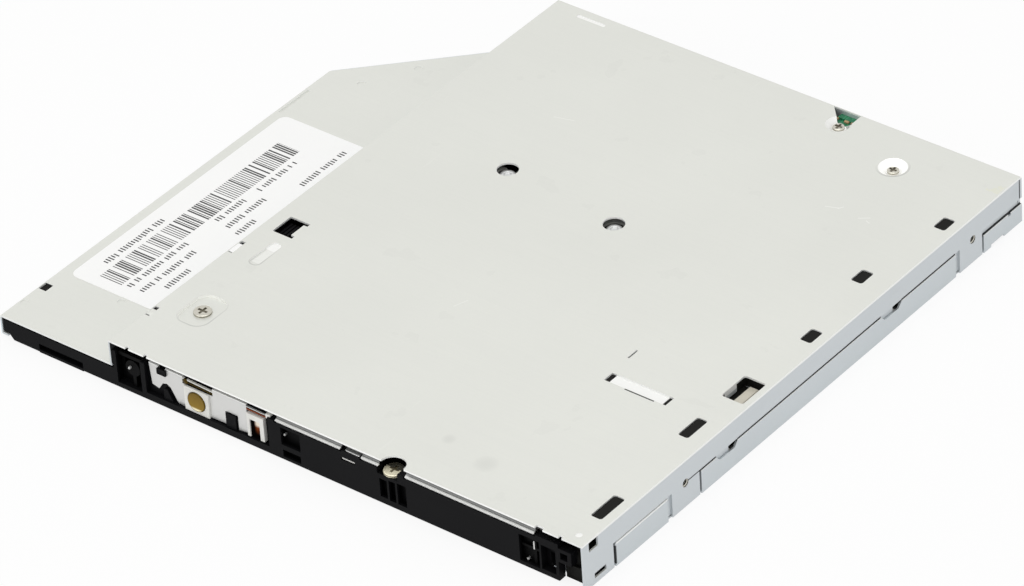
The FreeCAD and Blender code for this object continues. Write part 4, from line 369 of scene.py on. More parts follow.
@dataclass(frozen=True)
class SheetSteel(Finish):
    """Satin zinc-plated sheet with painted highlights on bends and edges, polished edges with a painted
    highlight, painted shade in seams, on upright faces and on a curl, and marks.
    """

    colour: Colour
    roughness: float = 0.48
    metallic: float = 0.45
    mottle: float = 0.07
    # Colour of the painted highlights and of bright marks
    bright: Colour = paint(254, 254, 252)
    # Patches painted with a highlight
    rubbed: tuple[Patch, ...] = ()
    # Patches whose sloping faces are painted with a highlight
    pressed: tuple[Patch, ...] = ()
    # Patches painted with shade: gaps, slits, holes and notches
    seams: tuple[Patch, ...] = ()
    # Polished patches, metallic and painted with a highlight in their colour
    polished: tuple[Patch, ...] = ()
    marks: tuple[Mark, ...] = ()
    # Curl painted with shade that darkens towards its top, up to the crown
    curl: Patch | None = None
    crown: float = 0.0
    # Colour of upright faces: painted shade, darker and cooler than the level faces
    wall: Colour | None = None
    stain: Patch | None = None
    tint: Colour = paint(226, 226, 196)
    # Dark colour of painted shade in seams, on the curl and rims, and of smudges
    shade_and_smudge: Colour = paint(24, 25, 27)
    upright: ClassVar[float] = 0.75
    sloping: ClassVar[float] = 0.2
    stain_share: ClassVar[float] = 0.3
    curl_share: ClassVar[float] = 0.86
    shine_share: ClassVar[float] = 0.85
    seam_share: ClassVar[float] = 0.95

    def _coloured(self, s: Shader, axes: Sequence[Wire], tone: Wire) -> Wire:
        """Colour of the sheet with its stain, painted shade on its upright faces and its curl, and its
        marks.

        Args:
            s: Shader of the sheet.
            axes: Place in millimetres.
            tone: Tone of the rolled surface.

        Returns:
            The colour.
        """
        sheet = s.toned(self.colour, tone)
        # Painted shade: upright faces take their darker, cooler colour
        if self.wall:
            sheet = s.mix(s.slope() > self.upright, sheet, s.toned(self.wall, tone))
        if self.stain:
            blot = self.stain.mask(axes) * (s.noise(0.7, 2.0) > 0.48)
            sheet = s.mix(self.stain_share * blot, sheet, self.tint)
        # Painted shade on the curl, darker towards its top under the plate
        if self.curl:
            rise = (axes[2] - self.curl.low[2]) / (self.crown - self.curl.low[2])
            sheet = s.mix(self.curl_share * rise.clamped() * self.curl.mask(axes), sheet, self.shade_and_smudge)
        # Marks: bright ones in the highlight colour, dark ones in the shade and smudge colour
        for mark in self.marks:
            sheet = s.mix(mark.share * mark.mask(axes), sheet, self.bright if mark.bright else self.shade_and_smudge)
        return sheet

    def surface(self, s: Shader) -> Sockets:
        """Values and wires of the surface."""
        axes = s.axes()
        cloud = s.noise(0.03, 2.0)
        blotch = s.noise(0.11, 3.0, 0.6) > 0.66
        grain = s.noise(1.4, 5.0, 0.65)
        rolled = s.noise(1.0, 3.0, 0.6, s.stretched((0.05, 2.6, 2.6)))
        worn = s.noise(1.0, 4.0, 0.7, s.stretched((0.5, 0.04, 0.5))) > 0.69
        tone = varied(1.0, (self.mottle, cloud), (0.6 * self.mottle, grain), (0.04, rolled))
        tone = tone + 0.015 * worn - 0.02 * blotch
        rough = varied(self.roughness, (0.16, grain), (0.1, rolled)) - 0.05 * worn
        # Painted highlights on listed patches and on the sloping faces of the bends
        bends = union(self.pressed, axes) * (s.slope() > self.sloping)
        shine = union(self.rubbed, axes).most(bends)
        # Painted shade in the seams
        dark = union(self.seams, axes)
        # Polished patches: a real metallic sheen, plus a painted highlight
        gleam = union(self.polished, axes)
        sheet = self._coloured(s, axes, tone)
        # Painted highlight colour on highlight patches and polished patches
        sheet = s.mix((self.shine_share * shine).most(gleam), sheet, self.bright)
        return {
            "Base Color": s.mix(self.seam_share * dark, sheet, self.shade_and_smudge),
            "Roughness": rough - 0.1 * shine + 0.3 * dark,
            "Metallic": (self.metallic * (1.0 - 0.7 * shine) * (1.0 - dark)).most(0.95 * gleam),
            "Normal": s.bump(0.6 * grain + 0.4 * rolled, 0.012, 0.5),
        }


@dataclass(frozen=True)
class MouldedPlastic(Finish):
    """Spark-eroded moulded plastic, darkened with painted shade in given pockets."""

    colour: Colour
    roughness: float = 0.42
    grain: float = 7.0
    depth: float = 0.012
    specular: float = 0.4
    # Pockets painted with shade
    recess_shade: tuple[Patch, ...] = ()

    def surface(self, s: Shader) -> Sockets:
        """Values and wires of the surface."""
        skin = s.noise(self.grain, 3.0, 0.6)
        flow = s.noise(0.12, 3.0)
        tone = varied(1.0, (0.5, flow), (0.3, skin))
        return {
            "Base Color": s.toned(self.colour, tone * (1.0 - 0.75 * union(self.recess_shade, s.axes()))),
            "Roughness": varied(self.roughness, (0.18, flow), (0.1, skin)),
            "Specular IOR Level": self.specular,
            "Normal": s.bump(skin, self.depth, 0.7),
        }


@dataclass(frozen=True)
class PlatedMetal(Finish):
    """Plated or polished metal with fine machining marks, painted shade in the recesses of screw heads, and
    a painted shadow on a covered part.
    """

    colour: Colour
    roughness: float = 0.28
    brushed: Point = (0.4, 0.4, 6.0)
    metallic: float = 1.0
    # Heights of screw-head recesses, painted with shade
    wells: tuple[Place, ...] = ()
    shade_and_smudge: Colour = paint(34, 31, 24)
    # Part of a head under the plate, painted with shadow in the shade colour
    covered: Patch | None = None
    shade: Colour = paint(12, 11, 9)
    shade_share: ClassVar[float] = 0.9

    def surface(self, s: Shader) -> Sockets:
        """Values and wires of the surface."""
        brush = s.noise(1.0, 4.0, 0.6, s.stretched(self.brushed))
        stain = s.noise(0.5, 4.0, 0.65)
        axes = s.axes()
        # Painted shade in the recesses of screw heads
        recess_shade = axes[2] * 0.0
        for low, high in self.wells:
            recess_shade = recess_shade.most(axes[2].between(low, high))
        plated = s.toned(self.colour, varied(1.0, (0.14, brush), (0.16, stain)))
        # Painted shadow where the head lies under the plate
        if self.covered:
            plated = s.mix(self.shade_share * self.covered.mask(axes), plated, self.shade)
        return {
            "Base Color": s.mix(self.shade_share * recess_shade, plated, self.shade_and_smudge),
            "Roughness": varied(self.roughness, (0.16, brush), (0.14, stain)) + 0.3 * recess_shade,
            "Metallic": self.metallic,
            "Normal": s.bump(brush, 0.006, 0.5),
        }


@dataclass(frozen=True)
class TurnedMetal(Finish):
    """Metal turned round the spindle, with rings."""

    colour: Colour
    roughness: float = 0.3
    rings: float = 5.0

    def surface(self, s: Shader) -> Sockets:
        """Values and wires of the surface."""
        across, along, _ = s.axes()
        radius = (across * across + along * along).root()
        ring = s.rings(radius, self.rings)
        stain = s.noise(0.4, 3.0)
        return {
            "Base Color": s.toned(self.colour, varied(1.0, (0.18, ring), (0.1, stain))),
            "Roughness": varied(self.roughness, (0.2, ring), (0.08, stain)),
            "Metallic": 1.0,
            "Normal": s.bump(ring, 0.008, 0.6),
        }


@dataclass(frozen=True)
class PrintLine:
    """One line of plain ticks on the label, in millimetres."""

    across: float
    height: float
    start: float
    end: float
    pitch: float = 0.66


@dataclass(frozen=True)
class LabelPaper(Finish):
    """White label with bars and lines of plain ticks that say nothing."""

    paper: Colour
    ink: Colour
    bars: tuple[float, float, float, float] = (-56.9, -51.9, -44.6, 4.2)
    bar_pitch: float = 0.56
    lines: tuple[PrintLine, ...] = ()

    def _ticks(self, s: Shader, line: PrintLine, across: Wire, along: Wire) -> Wire:
        """Short ticks of uneven height along one line, with gaps.

        Args:
            s: Shader of the label.
            line: Place and size of the line.
            across: Place across the drive.
            along: Place along the drive.

        Returns:
            1 on a tick.
        """
        cells = (along - line.start) / line.pitch
        seed = 37.0 * round(line.start) + 11.0 * round(line.across)
        cell = cells.step() + seed
        group = (cells / 6.0).step() + 5.0 * round(line.across)
        height = (across - line.across) / line.height
        foot = 0.16 * s.chance(cell, 3.0)
        head = 1.0 - 0.22 * s.chance(cell, 9.0)
        tick = (height > foot) * (height < head) * (cells.rest() < 0.46)
        kept = (s.chance(cell, 5.0) > 0.14) * (s.chance(group, 2.0) > 0.12)
        return tick * kept * along.between(line.start, line.end)

    def surface(self, s: Shader) -> Sockets:
        """Values and wires of the surface."""
        across, along, _ = s.axes()
        left, right, start, end = self.bars
        place = (along - start) / self.bar_pitch
        unit = place.step()
        wide = 0.36 + 0.3 * (s.chance(unit, 2.0) > 0.6)
        barred = (s.chance(unit, 7.0) > 0.14) * (place.rest() < wide)
        barred = barred * across.between(left, right) * along.between(start, end)
        for line in self.lines:
            barred = barred.most(self._ticks(s, line, across, along))
        fibre = s.noise(3.0, 4.0, 0.65)
        soft = s.noise(0.08, 2.0)
        paper = s.toned(self.paper, varied(1.0, (0.03, fibre), (0.03, soft)))
        ink = s.toned(self.ink, varied(1.0, (0.8, fibre)))
        return {
            "Base Color": s.mix(barred * varied(0.97, (0.1, fibre)), paper, ink),
            "Roughness": varied(0.5, (0.15, fibre)) - 0.1 * barred,
            "Normal": s.bump(fibre, 0.01, 0.4),
        }


@dataclass(frozen=True)
class SolderMask(Finish):
    """Circuit board with traces and vias under green lacquer."""

    mask: Colour
    trace: Colour
    via: Colour
    pitch: float = 0.55
    cell: float = 4.0

    def surface(self, s: Shader) -> Sockets:
        """Values and wires of the surface."""
        across, along, _ = s.axes()
        turn = s.chance((across / self.cell).step(), (along / self.cell).step()) > 0.5
        course = (across * turn + along * (1.0 - turn)) / self.pitch
        kept = s.chance(course.step(), turn, (across / 9.0).step()) > 0.35
        trace = course.rest().between(0.25, 0.68) * kept
        spots = s.node("ShaderNodeTexVoronoi", None, {"Vector": s.mm, "Scale": 0.55})
        via = spots < 0.2
        cloud = s.noise(0.6, 3.0)
        lacquer = s.mix(trace * 0.8, self.mask, self.trace)
        return {
            "Base Color": s.toned(s.mix(via, lacquer, self.via), varied(1.0, (0.15, cloud))),
            "Roughness": varied(0.32, (0.1, cloud)),
            "Metallic": 0.6 * via,
            "Normal": s.bump(trace.most(via), 0.03, 0.6),
        }


@dataclass(frozen=True)
class WoundCopper(Finish):
    """Enamelled wire in close turns."""

    colour: Colour
    turns: float = 7.0

    def surface(self, s: Shader) -> Sockets:
        """Values and wires of the surface."""
        wave = s.node("ShaderNodeTexWave", {"wave_profile": "SIN", "bands_direction": "DIAGONAL"},
                      {"Vector": s.mm, "Scale": self.turns, "Distortion": 0.6}, output="Fac")
        stain = s.noise(0.8, 3.0)
        return {
            "Base Color": s.toned(self.colour, varied(0.75 + 0.4 * wave, (0.2, stain))),
            "Roughness": varied(0.3, (0.15, stain)),
            "Metallic": 0.9,
            "Normal": s.bump(wave, 0.05, 0.8),
        }


@dataclass(frozen=True)
class FlexFilm(Finish):
    """Polyester film with flat conductors."""

    film: Colour
    conductor: Colour
    pitch: float = 0.5
    printed: Place = (17.6, 30.4)

    def surface(self, s: Shader) -> Sockets:
        """Values and wires of the surface."""
        across, _, _ = s.axes()
        line = (across / self.pitch).rest().between(0.2, 0.8) * across.between(*self.printed)
        haze = s.noise(0.4, 3.0)
        return {
            "Base Color": s.toned(s.mix(0.55 * line, self.film, self.conductor), varied(1.0, (0.1, haze))),
            "Roughness": varied(0.3, (0.12, haze)),
            "Metallic": 0.3 * line,
            "Normal": s.bump(line, 0.02, 0.5),
        }


@dataclass(frozen=True)
class ClearPart(Finish):
    """Clear or tinted optical part."""

    colour: Colour
    transmission: float
    ior: float = 1.5
    roughness: float = 0.04
    coat: float = 0.5

    def surface(self, s: Shader) -> Sockets:
        """Values and wires of the surface."""
        dust = s.noise(2.5, 4.0, 0.6)
        return {
            "Base Color": s.toned(self.colour, varied(0.95, (0.2, dust))),
            "Roughness": self.roughness + 0.06 * dust,
            "Transmission Weight": self.transmission,
            "IOR": self.ior,
            "Coat Weight": self.coat,
        }


@dataclass(frozen=True)
class StampedDome(Finish):
    """Stamped gold dome with painted shade towards its top and on its rim, and a painted glint at its foot.
    """

    colour: Colour
    # Colour of the painted glint
    glint: Colour
    centre: Place
    radius: float
    rings: float = 4.0
    # Share of the radius beyond which the rim gets painted shade
    crown: ClassVar[float] = 0.9

    def surface(self, s: Shader) -> Sockets:
        """Values and wires of the surface."""
        across, _, up = s.axes()
        right = across - self.centre[0]
        lift = up - self.centre[1]
        radius = (right * right + lift * lift).root()
        drop = (self.centre[1] - up) / self.radius
        edge = self.crown * self.radius
        # Painted glint near the foot of the dome
        foot = (6.0 * drop - 3.6).clamped() * (radius < edge)
        ring = s.rings(radius, self.rings)
        stain = s.noise(1.1, 3.0)
        # Painted shade: darker towards the top, and darker still on the rim
        tone = varied(1.0 + 0.3 * drop, (0.2, ring), (0.25, stain))
        brass = s.toned(self.colour, tone * (1.0 - 0.45 * (radius > edge)))
        return {
            "Base Color": s.mix(foot, brass, self.glint),
            "Roughness": varied(0.32, (0.15, stain)) - 0.1 * foot,
            "Metallic": 0.9,
            "Normal": s.bump(ring, 0.006, 0.5),
        }


@dataclass(frozen=True)
class LampWindow(Finish):
    """Amber window with a painted highlight at its head and painted shade at its left and towards its foot.
    """

    amber: Colour
    # Colour of the painted shade
    dark: Colour
    # Colour of the painted highlight at the head
    head: Colour
    low: Place
    high: Place

    def surface(self, s: Shader) -> Sockets:
        """Values and wires of the surface."""
        across, _, up = s.axes()
        # Painted shade at the left and towards the foot, and a painted highlight at the head
        side = (4.0 * (across - self.low[0]) / (self.high[0] - self.low[0]) - 1.5).clamped()
        height = (up - self.low[1]) / (self.high[1] - self.low[1])
        cloud = s.noise(0.9, 3.0)
        lit = varied(2.2 * height - 0.5, (0.6, cloud)).clamped() * side
        body = s.mix(lit, self.dark, self.amber)
        return {
            "Base Color": s.mix((6.0 * height - 3.7).clamped() * side, body, self.head),
            "Roughness": varied(0.45, (0.2, cloud)),
            "Specular IOR Level": 0.0,
        }


@dataclass(frozen=True)
class Ceramic(Finish):
    """Small board parts in two tones."""

    colour: Colour
    other: Colour

    def surface(self, s: Shader) -> Sockets:
        """Values and wires of the surface."""
        speck = s.noise(4.0, 3.0)
        tone = s.noise(0.35, 1.0) > 0.52
        return {
            "Base Color": s.toned(s.mix(tone, self.colour, self.other), varied(1.0, (0.25, speck))),
            "Roughness": varied(0.5, (0.2, speck)),
            "Normal": s.bump(speck, 0.01, 0.5),
        }


# Bends of the case, painted with a highlight where they slope
WALL_EDGES = (
    Patch((-70.0, -70.0, 9.2), (70.0, 70.0, 9.6)),
    Patch((-38.1, -70.0, 8.4), (63.5, 62.5, 9.6)),
    Patch((-63.9, -70.0, 4.1), (-38.6, 40.0, 4.56)),
)
# Painted highlights on floors and edges of the case, the lid's flange and the pressed plate
PLATE_HIGHLIGHTS = (
    Patch((-60.0, 0.0, 9.18), (63.4, 62.6, 9.42)),
    Patch((-26.0, -62.5, 9.18), (63.4, 0.0, 9.42)),
    Patch((-33.4, -27.0, 9.18), (-30.9, -24.6, 9.42)),
    Patch((39.0, -25.2, 8.9), (52.4, -21.9, 9.3)),
)
FLANGE_TOPS = (
    Patch((63.2, -54.2, 4.4), (64.2, -37.0, 4.75)),
    Patch((63.88, -37.0, 4.6), (64.2, 50.0, 4.75)),
    Patch((63.88, 50.0, 3.6), (64.2, 64.0, 3.75)),
)
PRESSED_EDGES = (
    Patch((-36.0, -63.2, 7.9), (-8.0, -61.9, 8.2)),
    Patch((-3.0, -63.2, 7.4), (57.0, -62.62, 8.1)),
)
# Front edge of the case plate, walls of the latch pan, and the rear dishes: polished, with a painted
# highlight in their colour
POLISHED = (
    Patch((-37.6, -63.2, 9.12), (57.8, -62.96, 9.48)),
    Patch((-34.2, -52.2, 9.03), (-26.8, -42.4, 9.47)),
    Patch((40.7, 50.1, 8.0), (46.5, 55.9, 9.48)),
    Patch((27.2, 56.0, 8.0), (30.4, 61.2, 9.2)),
)
# Painted shade in the gaps of the lid's flange and round the wing notch
LID_SEAMS = (
    Patch((63.2, -37.0, 4.4), (63.87, 43.0, 4.75)),
    Patch((63.2, -54.8, 0.5), (64.2, -54.25, 4.2)),
    Patch((63.2, 51.0, 3.4), (63.87, 64.0, 3.75)),
    Patch((-63.55, -56.0, 0.2), (-57.0, -48.0, 4.3)),
)
# Painted shade in the gaps of the right wall, by start, end and top, in its fine lines, hook window and
# side holes, and in other gaps of the case
WALL_GAPS = (
    (-55.05, -54.2, 4.6), (-37.0, -26.7, 5.06), (-22.3, 20.6, 5.06), (25.1, 43.2, 5.06), (51.0, 63.2, 3.95))
WALL_LINES = ((-35.0, -26.7), (-20.8, 20.6), (26.6, 42.6))
HOOK_ENDS = ((-17.4, -16.4), (-12.4, -10.4))
SIDE_HOLES = ((-36.1, -34.3), (47.1, 48.9))
SEAMS = (
    *(Patch((62.9, start, 0.3), (63.63, end, top)) for start, end, top in WALL_GAPS),
    *(Patch((63.5, start, 4.9), (64.1, end, 5.15)) for start, end in WALL_LINES),
    *(Patch((57.9, start, 7.9), (58.4, end, 9.16)) for start, end in HOOK_ENDS),
    *(Patch((62.5, start, 4.0), (63.9, end, 5.8)) for start, end in SIDE_HOLES),
    Patch((-38.2, -63.1, 4.7), (-37.4, -54.5, 9.1)),
    Patch((-63.6, -53.4, 0.2), (-61.8, -51.2, 4.5)),
    Patch((43.7, -25.03, 9.45), (49.9, -24.74, 9.52)),
    Patch((63.2, 62.1, 4.9), (63.95, 62.5, 9.1)),
)
# Marks of the plate: smudges, rims of painted shade and scratches; the last scratch is a painted highlight
# on the floor of the capsule
MARKS = (
    Smudge((37.1, -54.2), 2.4),
    Smudge((27.7, -52.3), 1.4),
    Rim((-30.5, -47.3), (3.15, 4.4), 2.36),
    Rim((-32.15, -28.4), (1.05, 3.6), 0.945),
    Rim((43.6, 53.0), (2.7, 2.7), 2.7, 0.4),
    Scratch((41.8, 37.2), 2.6, 20.0),
    Scratch((43.2, 37.9), 1.2, 60.0),
    Scratch((48.4, 37.6), 2.2, 35.0),
    Scratch((49.6, 37.0), 1.0, -20.0),
    Scratch((5.4, -21.0), 3.0, 70.0, 0.14),
    Scratch((-14.0, 33.0), 4.0, 15.0, 0.14),
    Scratch((-32.15, -29.1), 4.2, 90.0, 1.7),
)
# Deep pockets of the tray front, darkened with painted shade
POCKETS = (
    Patch((-38.0, -62.55, 1.3), (-31.6, -57.0, 7.7)),
    Patch((-0.6, -62.5, 0.7), (4.0, -61.0, 7.0)),
    Patch((12.6, -62.5, 1.2), (27.0, -61.0, 6.4)),
    Patch((50.4, -62.5, 0.9), (55.0, -61.0, 6.6)),
)
LINES = (
    PrintLine(-59.4, 1.5, -45.0, -24.2),
    PrintLine(-51.2, 1.4, -44.2, -12.9),
    PrintLine(-51.0, 1.4, -9.1, 2.6),
    PrintLine(-48.4, 1.4, -44.7, -10.7),
    PrintLine(-45.6, 1.4, -44.8, -34.6),
    PrintLine(-45.6, 1.4, -25.6, -16.7),
    PrintLine(-45.6, 1.4, -7.7, 8.7),
)
FINISHES: dict[str, Finish] = {finish.name: finish for finish in (
    SheetSteel("case_steel", paint(224, 225, 219), rubbed=PLATE_HIGHLIGHTS, pressed=WALL_EDGES, seams=SEAMS,
               polished=POLISHED, marks=MARKS, wall=paint(208, 213, 216),
               stain=Patch((61.0, 56.2, 9.4), (63.6, 59.0, 9.6))),
    SheetSteel("lid_steel", paint(206, 212, 215), 0.42, rubbed=FLANGE_TOPS, seams=LID_SEAMS),
    LabelPaper("label_paper", paint(255, 255, 254), paint(10, 10, 12), lines=LINES),
    SheetSteel("pressed_steel", paint(222, 223, 222), 0.4, 0.7, wall=paint(218, 218, 216),
               rubbed=PRESSED_EDGES, curl=Patch((-3.0, -63.2, 7.55), (57.0, -61.6, 8.9)), crown=8.4),
    PlatedMetal("screw_steel", paint(200, 197, 186), 0.26,
                wells=((9.1, 9.24), (8.6, 8.74), (7.75, 7.9)), shade_and_smudge=paint(112, 107, 95)),
    PlatedMetal("gold_screw", paint(255, 248, 220), 0.3, metallic=0.15,
                wells=((8.3, 8.47), (6.4, 6.57)), shade_and_smudge=paint(104, 94, 70),
                covered=Patch((20.0, -60.85, 6.0), (26.0, -58.0, 7.0))),
    SolderMask("board_green", paint(34, 116, 80), paint(58, 148, 102), paint(206, 188, 130)),
    PlatedMetal("nut_brass", paint(206, 176, 104), 0.3),
    MouldedPlastic("chip_black", paint(32, 32, 34), 0.6, 10.0, specular=0.15),
    Ceramic("capacitor_beige", paint(182, 152, 112), paint(120, 104, 84)),
    MouldedPlastic("socket_white", paint(226, 220, 204), 0.45),
    MouldedPlastic("connector_black", paint(22, 22, 24), 0.45, specular=0.2),
    PlatedMetal("contact_gold", paint(226, 190, 104), 0.2),
    MouldedPlastic("guide_black", paint(27, 27, 25), 0.6, specular=0.08),
    FlexFilm("flex_film", paint(206, 200, 184), paint(170, 160, 138)),
    MouldedPlastic("tray_black", paint(13, 13, 15), 0.55, specular=0.07, recess_shade=POCKETS),
    MouldedPlastic("damper_rubber", paint(34, 33, 32), 0.8, 4.0, 0.03, specular=0.1),
    PlatedMetal("rod_steel", paint(220, 221, 222), 0.12, (4.0, 4.0, 4.0)),
    PlatedMetal("core_steel", paint(150, 150, 152), 0.4, (0.3, 0.3, 20.0)),
    WoundCopper("coil_copper", paint(150, 76, 44)),
    TurnedMetal("rotor_metal", paint(206, 207, 208)),
    MouldedPlastic("claw_plastic", paint(232, 230, 222), 0.35),
    PlatedMetal("motor_can", paint(196, 197, 196), 0.3),
    PlatedMetal("pickup_metal", paint(176, 178, 180), 0.45, (0.8, 0.8, 0.8)),
    MouldedPlastic("pickup_plastic", paint(26, 26, 28), 0.5, specular=0.2),
    PlatedMetal("magnet", paint(168, 168, 172), 0.22),
    ClearPart("lens_glass", paint(226, 220, 246), 0.9, 1.58),
    MouldedPlastic("lever_plastic", paint(216, 211, 196), 0.4),
    MouldedPlastic("switch_white", paint(240, 239, 234), 0.4),
    StampedDome("dome_gold", paint(134, 108, 38), paint(255, 246, 206), (-19.35, 4.1), 1.95),
    LampWindow("lamp_amber", paint(132, 66, 34), paint(9, 6, 5), paint(250, 240, 224),
               (-7.5, 1.8), (-5.3, 5.5)),
)}


@dataclass(frozen=True)
class Viewpoint:
    """The photograph's viewing angle, in degrees and millimetres."""

    azimuth: float = 40.47
    elevation: float = 35.86
    roll: float = -4.06
    distance: float = 1144.4
    target: Point = (2.37, -3.77, 0.0)
    focal_pixels: float = 6569.9
    near: float = 0.01

    def make(self) -> Piece:
        """Build the camera.

        Returns:
            The camera, set as the scene's own.
        """
        turn, lift, roll = (math.radians(a) for a in (self.azimuth, self.elevation, self.roll))
        back = Vector((math.sin(turn) * math.cos(lift), -math.cos(turn) * math.cos(lift), math.sin(lift)))
        level = Vector((math.cos(turn), math.sin(turn), 0.0))
        upright = back.cross(level)
        right = math.cos(roll) * level + math.sin(roll) * upright
        up = math.cos(roll) * upright - math.sin(roll) * level
        data = bpy.data.cameras.new("viewpoint")
        data.sensor_width = SENSOR_WIDTH
        data.lens = self.focal_pixels / IMAGE_WIDTH * SENSOR_WIDTH
        data.clip_start = self.near
        camera = bpy.data.objects.new("viewpoint", data)
        place = (Vector(self.target) + back * self.distance) * MM
        axes = Matrix((right, up, back)).transposed().to_4x4()
        camera.matrix_world = Matrix.Translation(place) @ axes
        bpy.context.scene.collection.objects.link(camera)
        bpy.context.scene.camera = camera
        return camera


class Lamp(Enum):
    """The soft lamps: place, width in metres, power in watts and colour."""

    KEY = ((0.05, -0.15, 1.1), 0.9, 4.2, (1.0, 1.0, 0.985))
    SIDE = ((0.95, -0.25, 0.35), 0.6, 0.35, (0.9, 0.96, 1.0))
    FRONT = ((-0.35, -0.95, 0.45), 0.5, 1.0, (1.0, 1.0, 1.0))


@dataclass(frozen=True)
class Studio:
    """Pale floor, soft lamps and a white surround."""

    floor_size: float = 8.0
    floor_colour: Colour = (0.97, 0.97, 0.97, 1.0)
    glow: float = 0.86
    ambient: float = 0.6

    @staticmethod
    def _seen(nodes: Nodes) -> Wire:
        """1 for rays that show the surround: camera, mirror and glass rays."""
        path = nodes.node("ShaderNodeLightPath").socket.node.outputs
        rays = ("Camera", "Glossy", "Transmission")
        camera, mirror, glass = (Wire(nodes, path[f"Is {ray} Ray"]) for ray in rays)
        return camera.most(mirror).most(glass)

    def _floor(self) -> None:
        """Lay the floor, which keeps the shadow."""
        bpy.ops.object.select_all(action="DESELECT")
        bpy.ops.mesh.primitive_plane_add(size=self.floor_size, location=(0.0, 0.0, 0.0))
        floor = bpy.context.object
        floor.name = "floor"
        s = Shader("floor_white")
        lit = s.node("ShaderNodeBsdfDiffuse", None, {"Color": self.floor_colour})
        glow = s.node("ShaderNodeEmission", None, {"Color": WHITE, "Strength": 1.0})
        both = s.node("ShaderNodeMixShader", None, {0: self._seen(s) * self.glow, 1: lit, 2: glow})
        s.end("ShaderNodeOutputMaterial", both)
        floor.data.materials.append(s.material)

    def _surround(self) -> None:
        """White world for the eye, plain ambient light for the object."""
        world = bpy.data.worlds.new("surround")
        world.use_nodes = True
        nodes = Nodes(world.node_tree)
        level = self.ambient + (1.0 - self.ambient) * self._seen(nodes)
        glow = nodes.node("ShaderNodeBackground", None, {"Color": WHITE, "Strength": level})
        nodes.end("ShaderNodeOutputWorld", glow)
        bpy.context.scene.world = world

    def make(self) -> None:
        """Build floor, lamps and surround."""
        self._floor()
        self._surround()
        for lamp in Lamp:
            place, width, power, colour = lamp.value
            data = bpy.data.lights.new(lamp.name.lower(), "AREA")
            data.shape = "DISK"
            data.size = width
            data.energy = power
            data.color = colour
            light = bpy.data.objects.new(lamp.name.lower(), data)
            light.location = place
            light.rotation_euler = (-Vector(place)).to_track_quat("-Z", "Y").to_euler()
            bpy.context.scene.collection.objects.link(light)
        bpy.context.scene.view_settings.view_transform = "Standard"


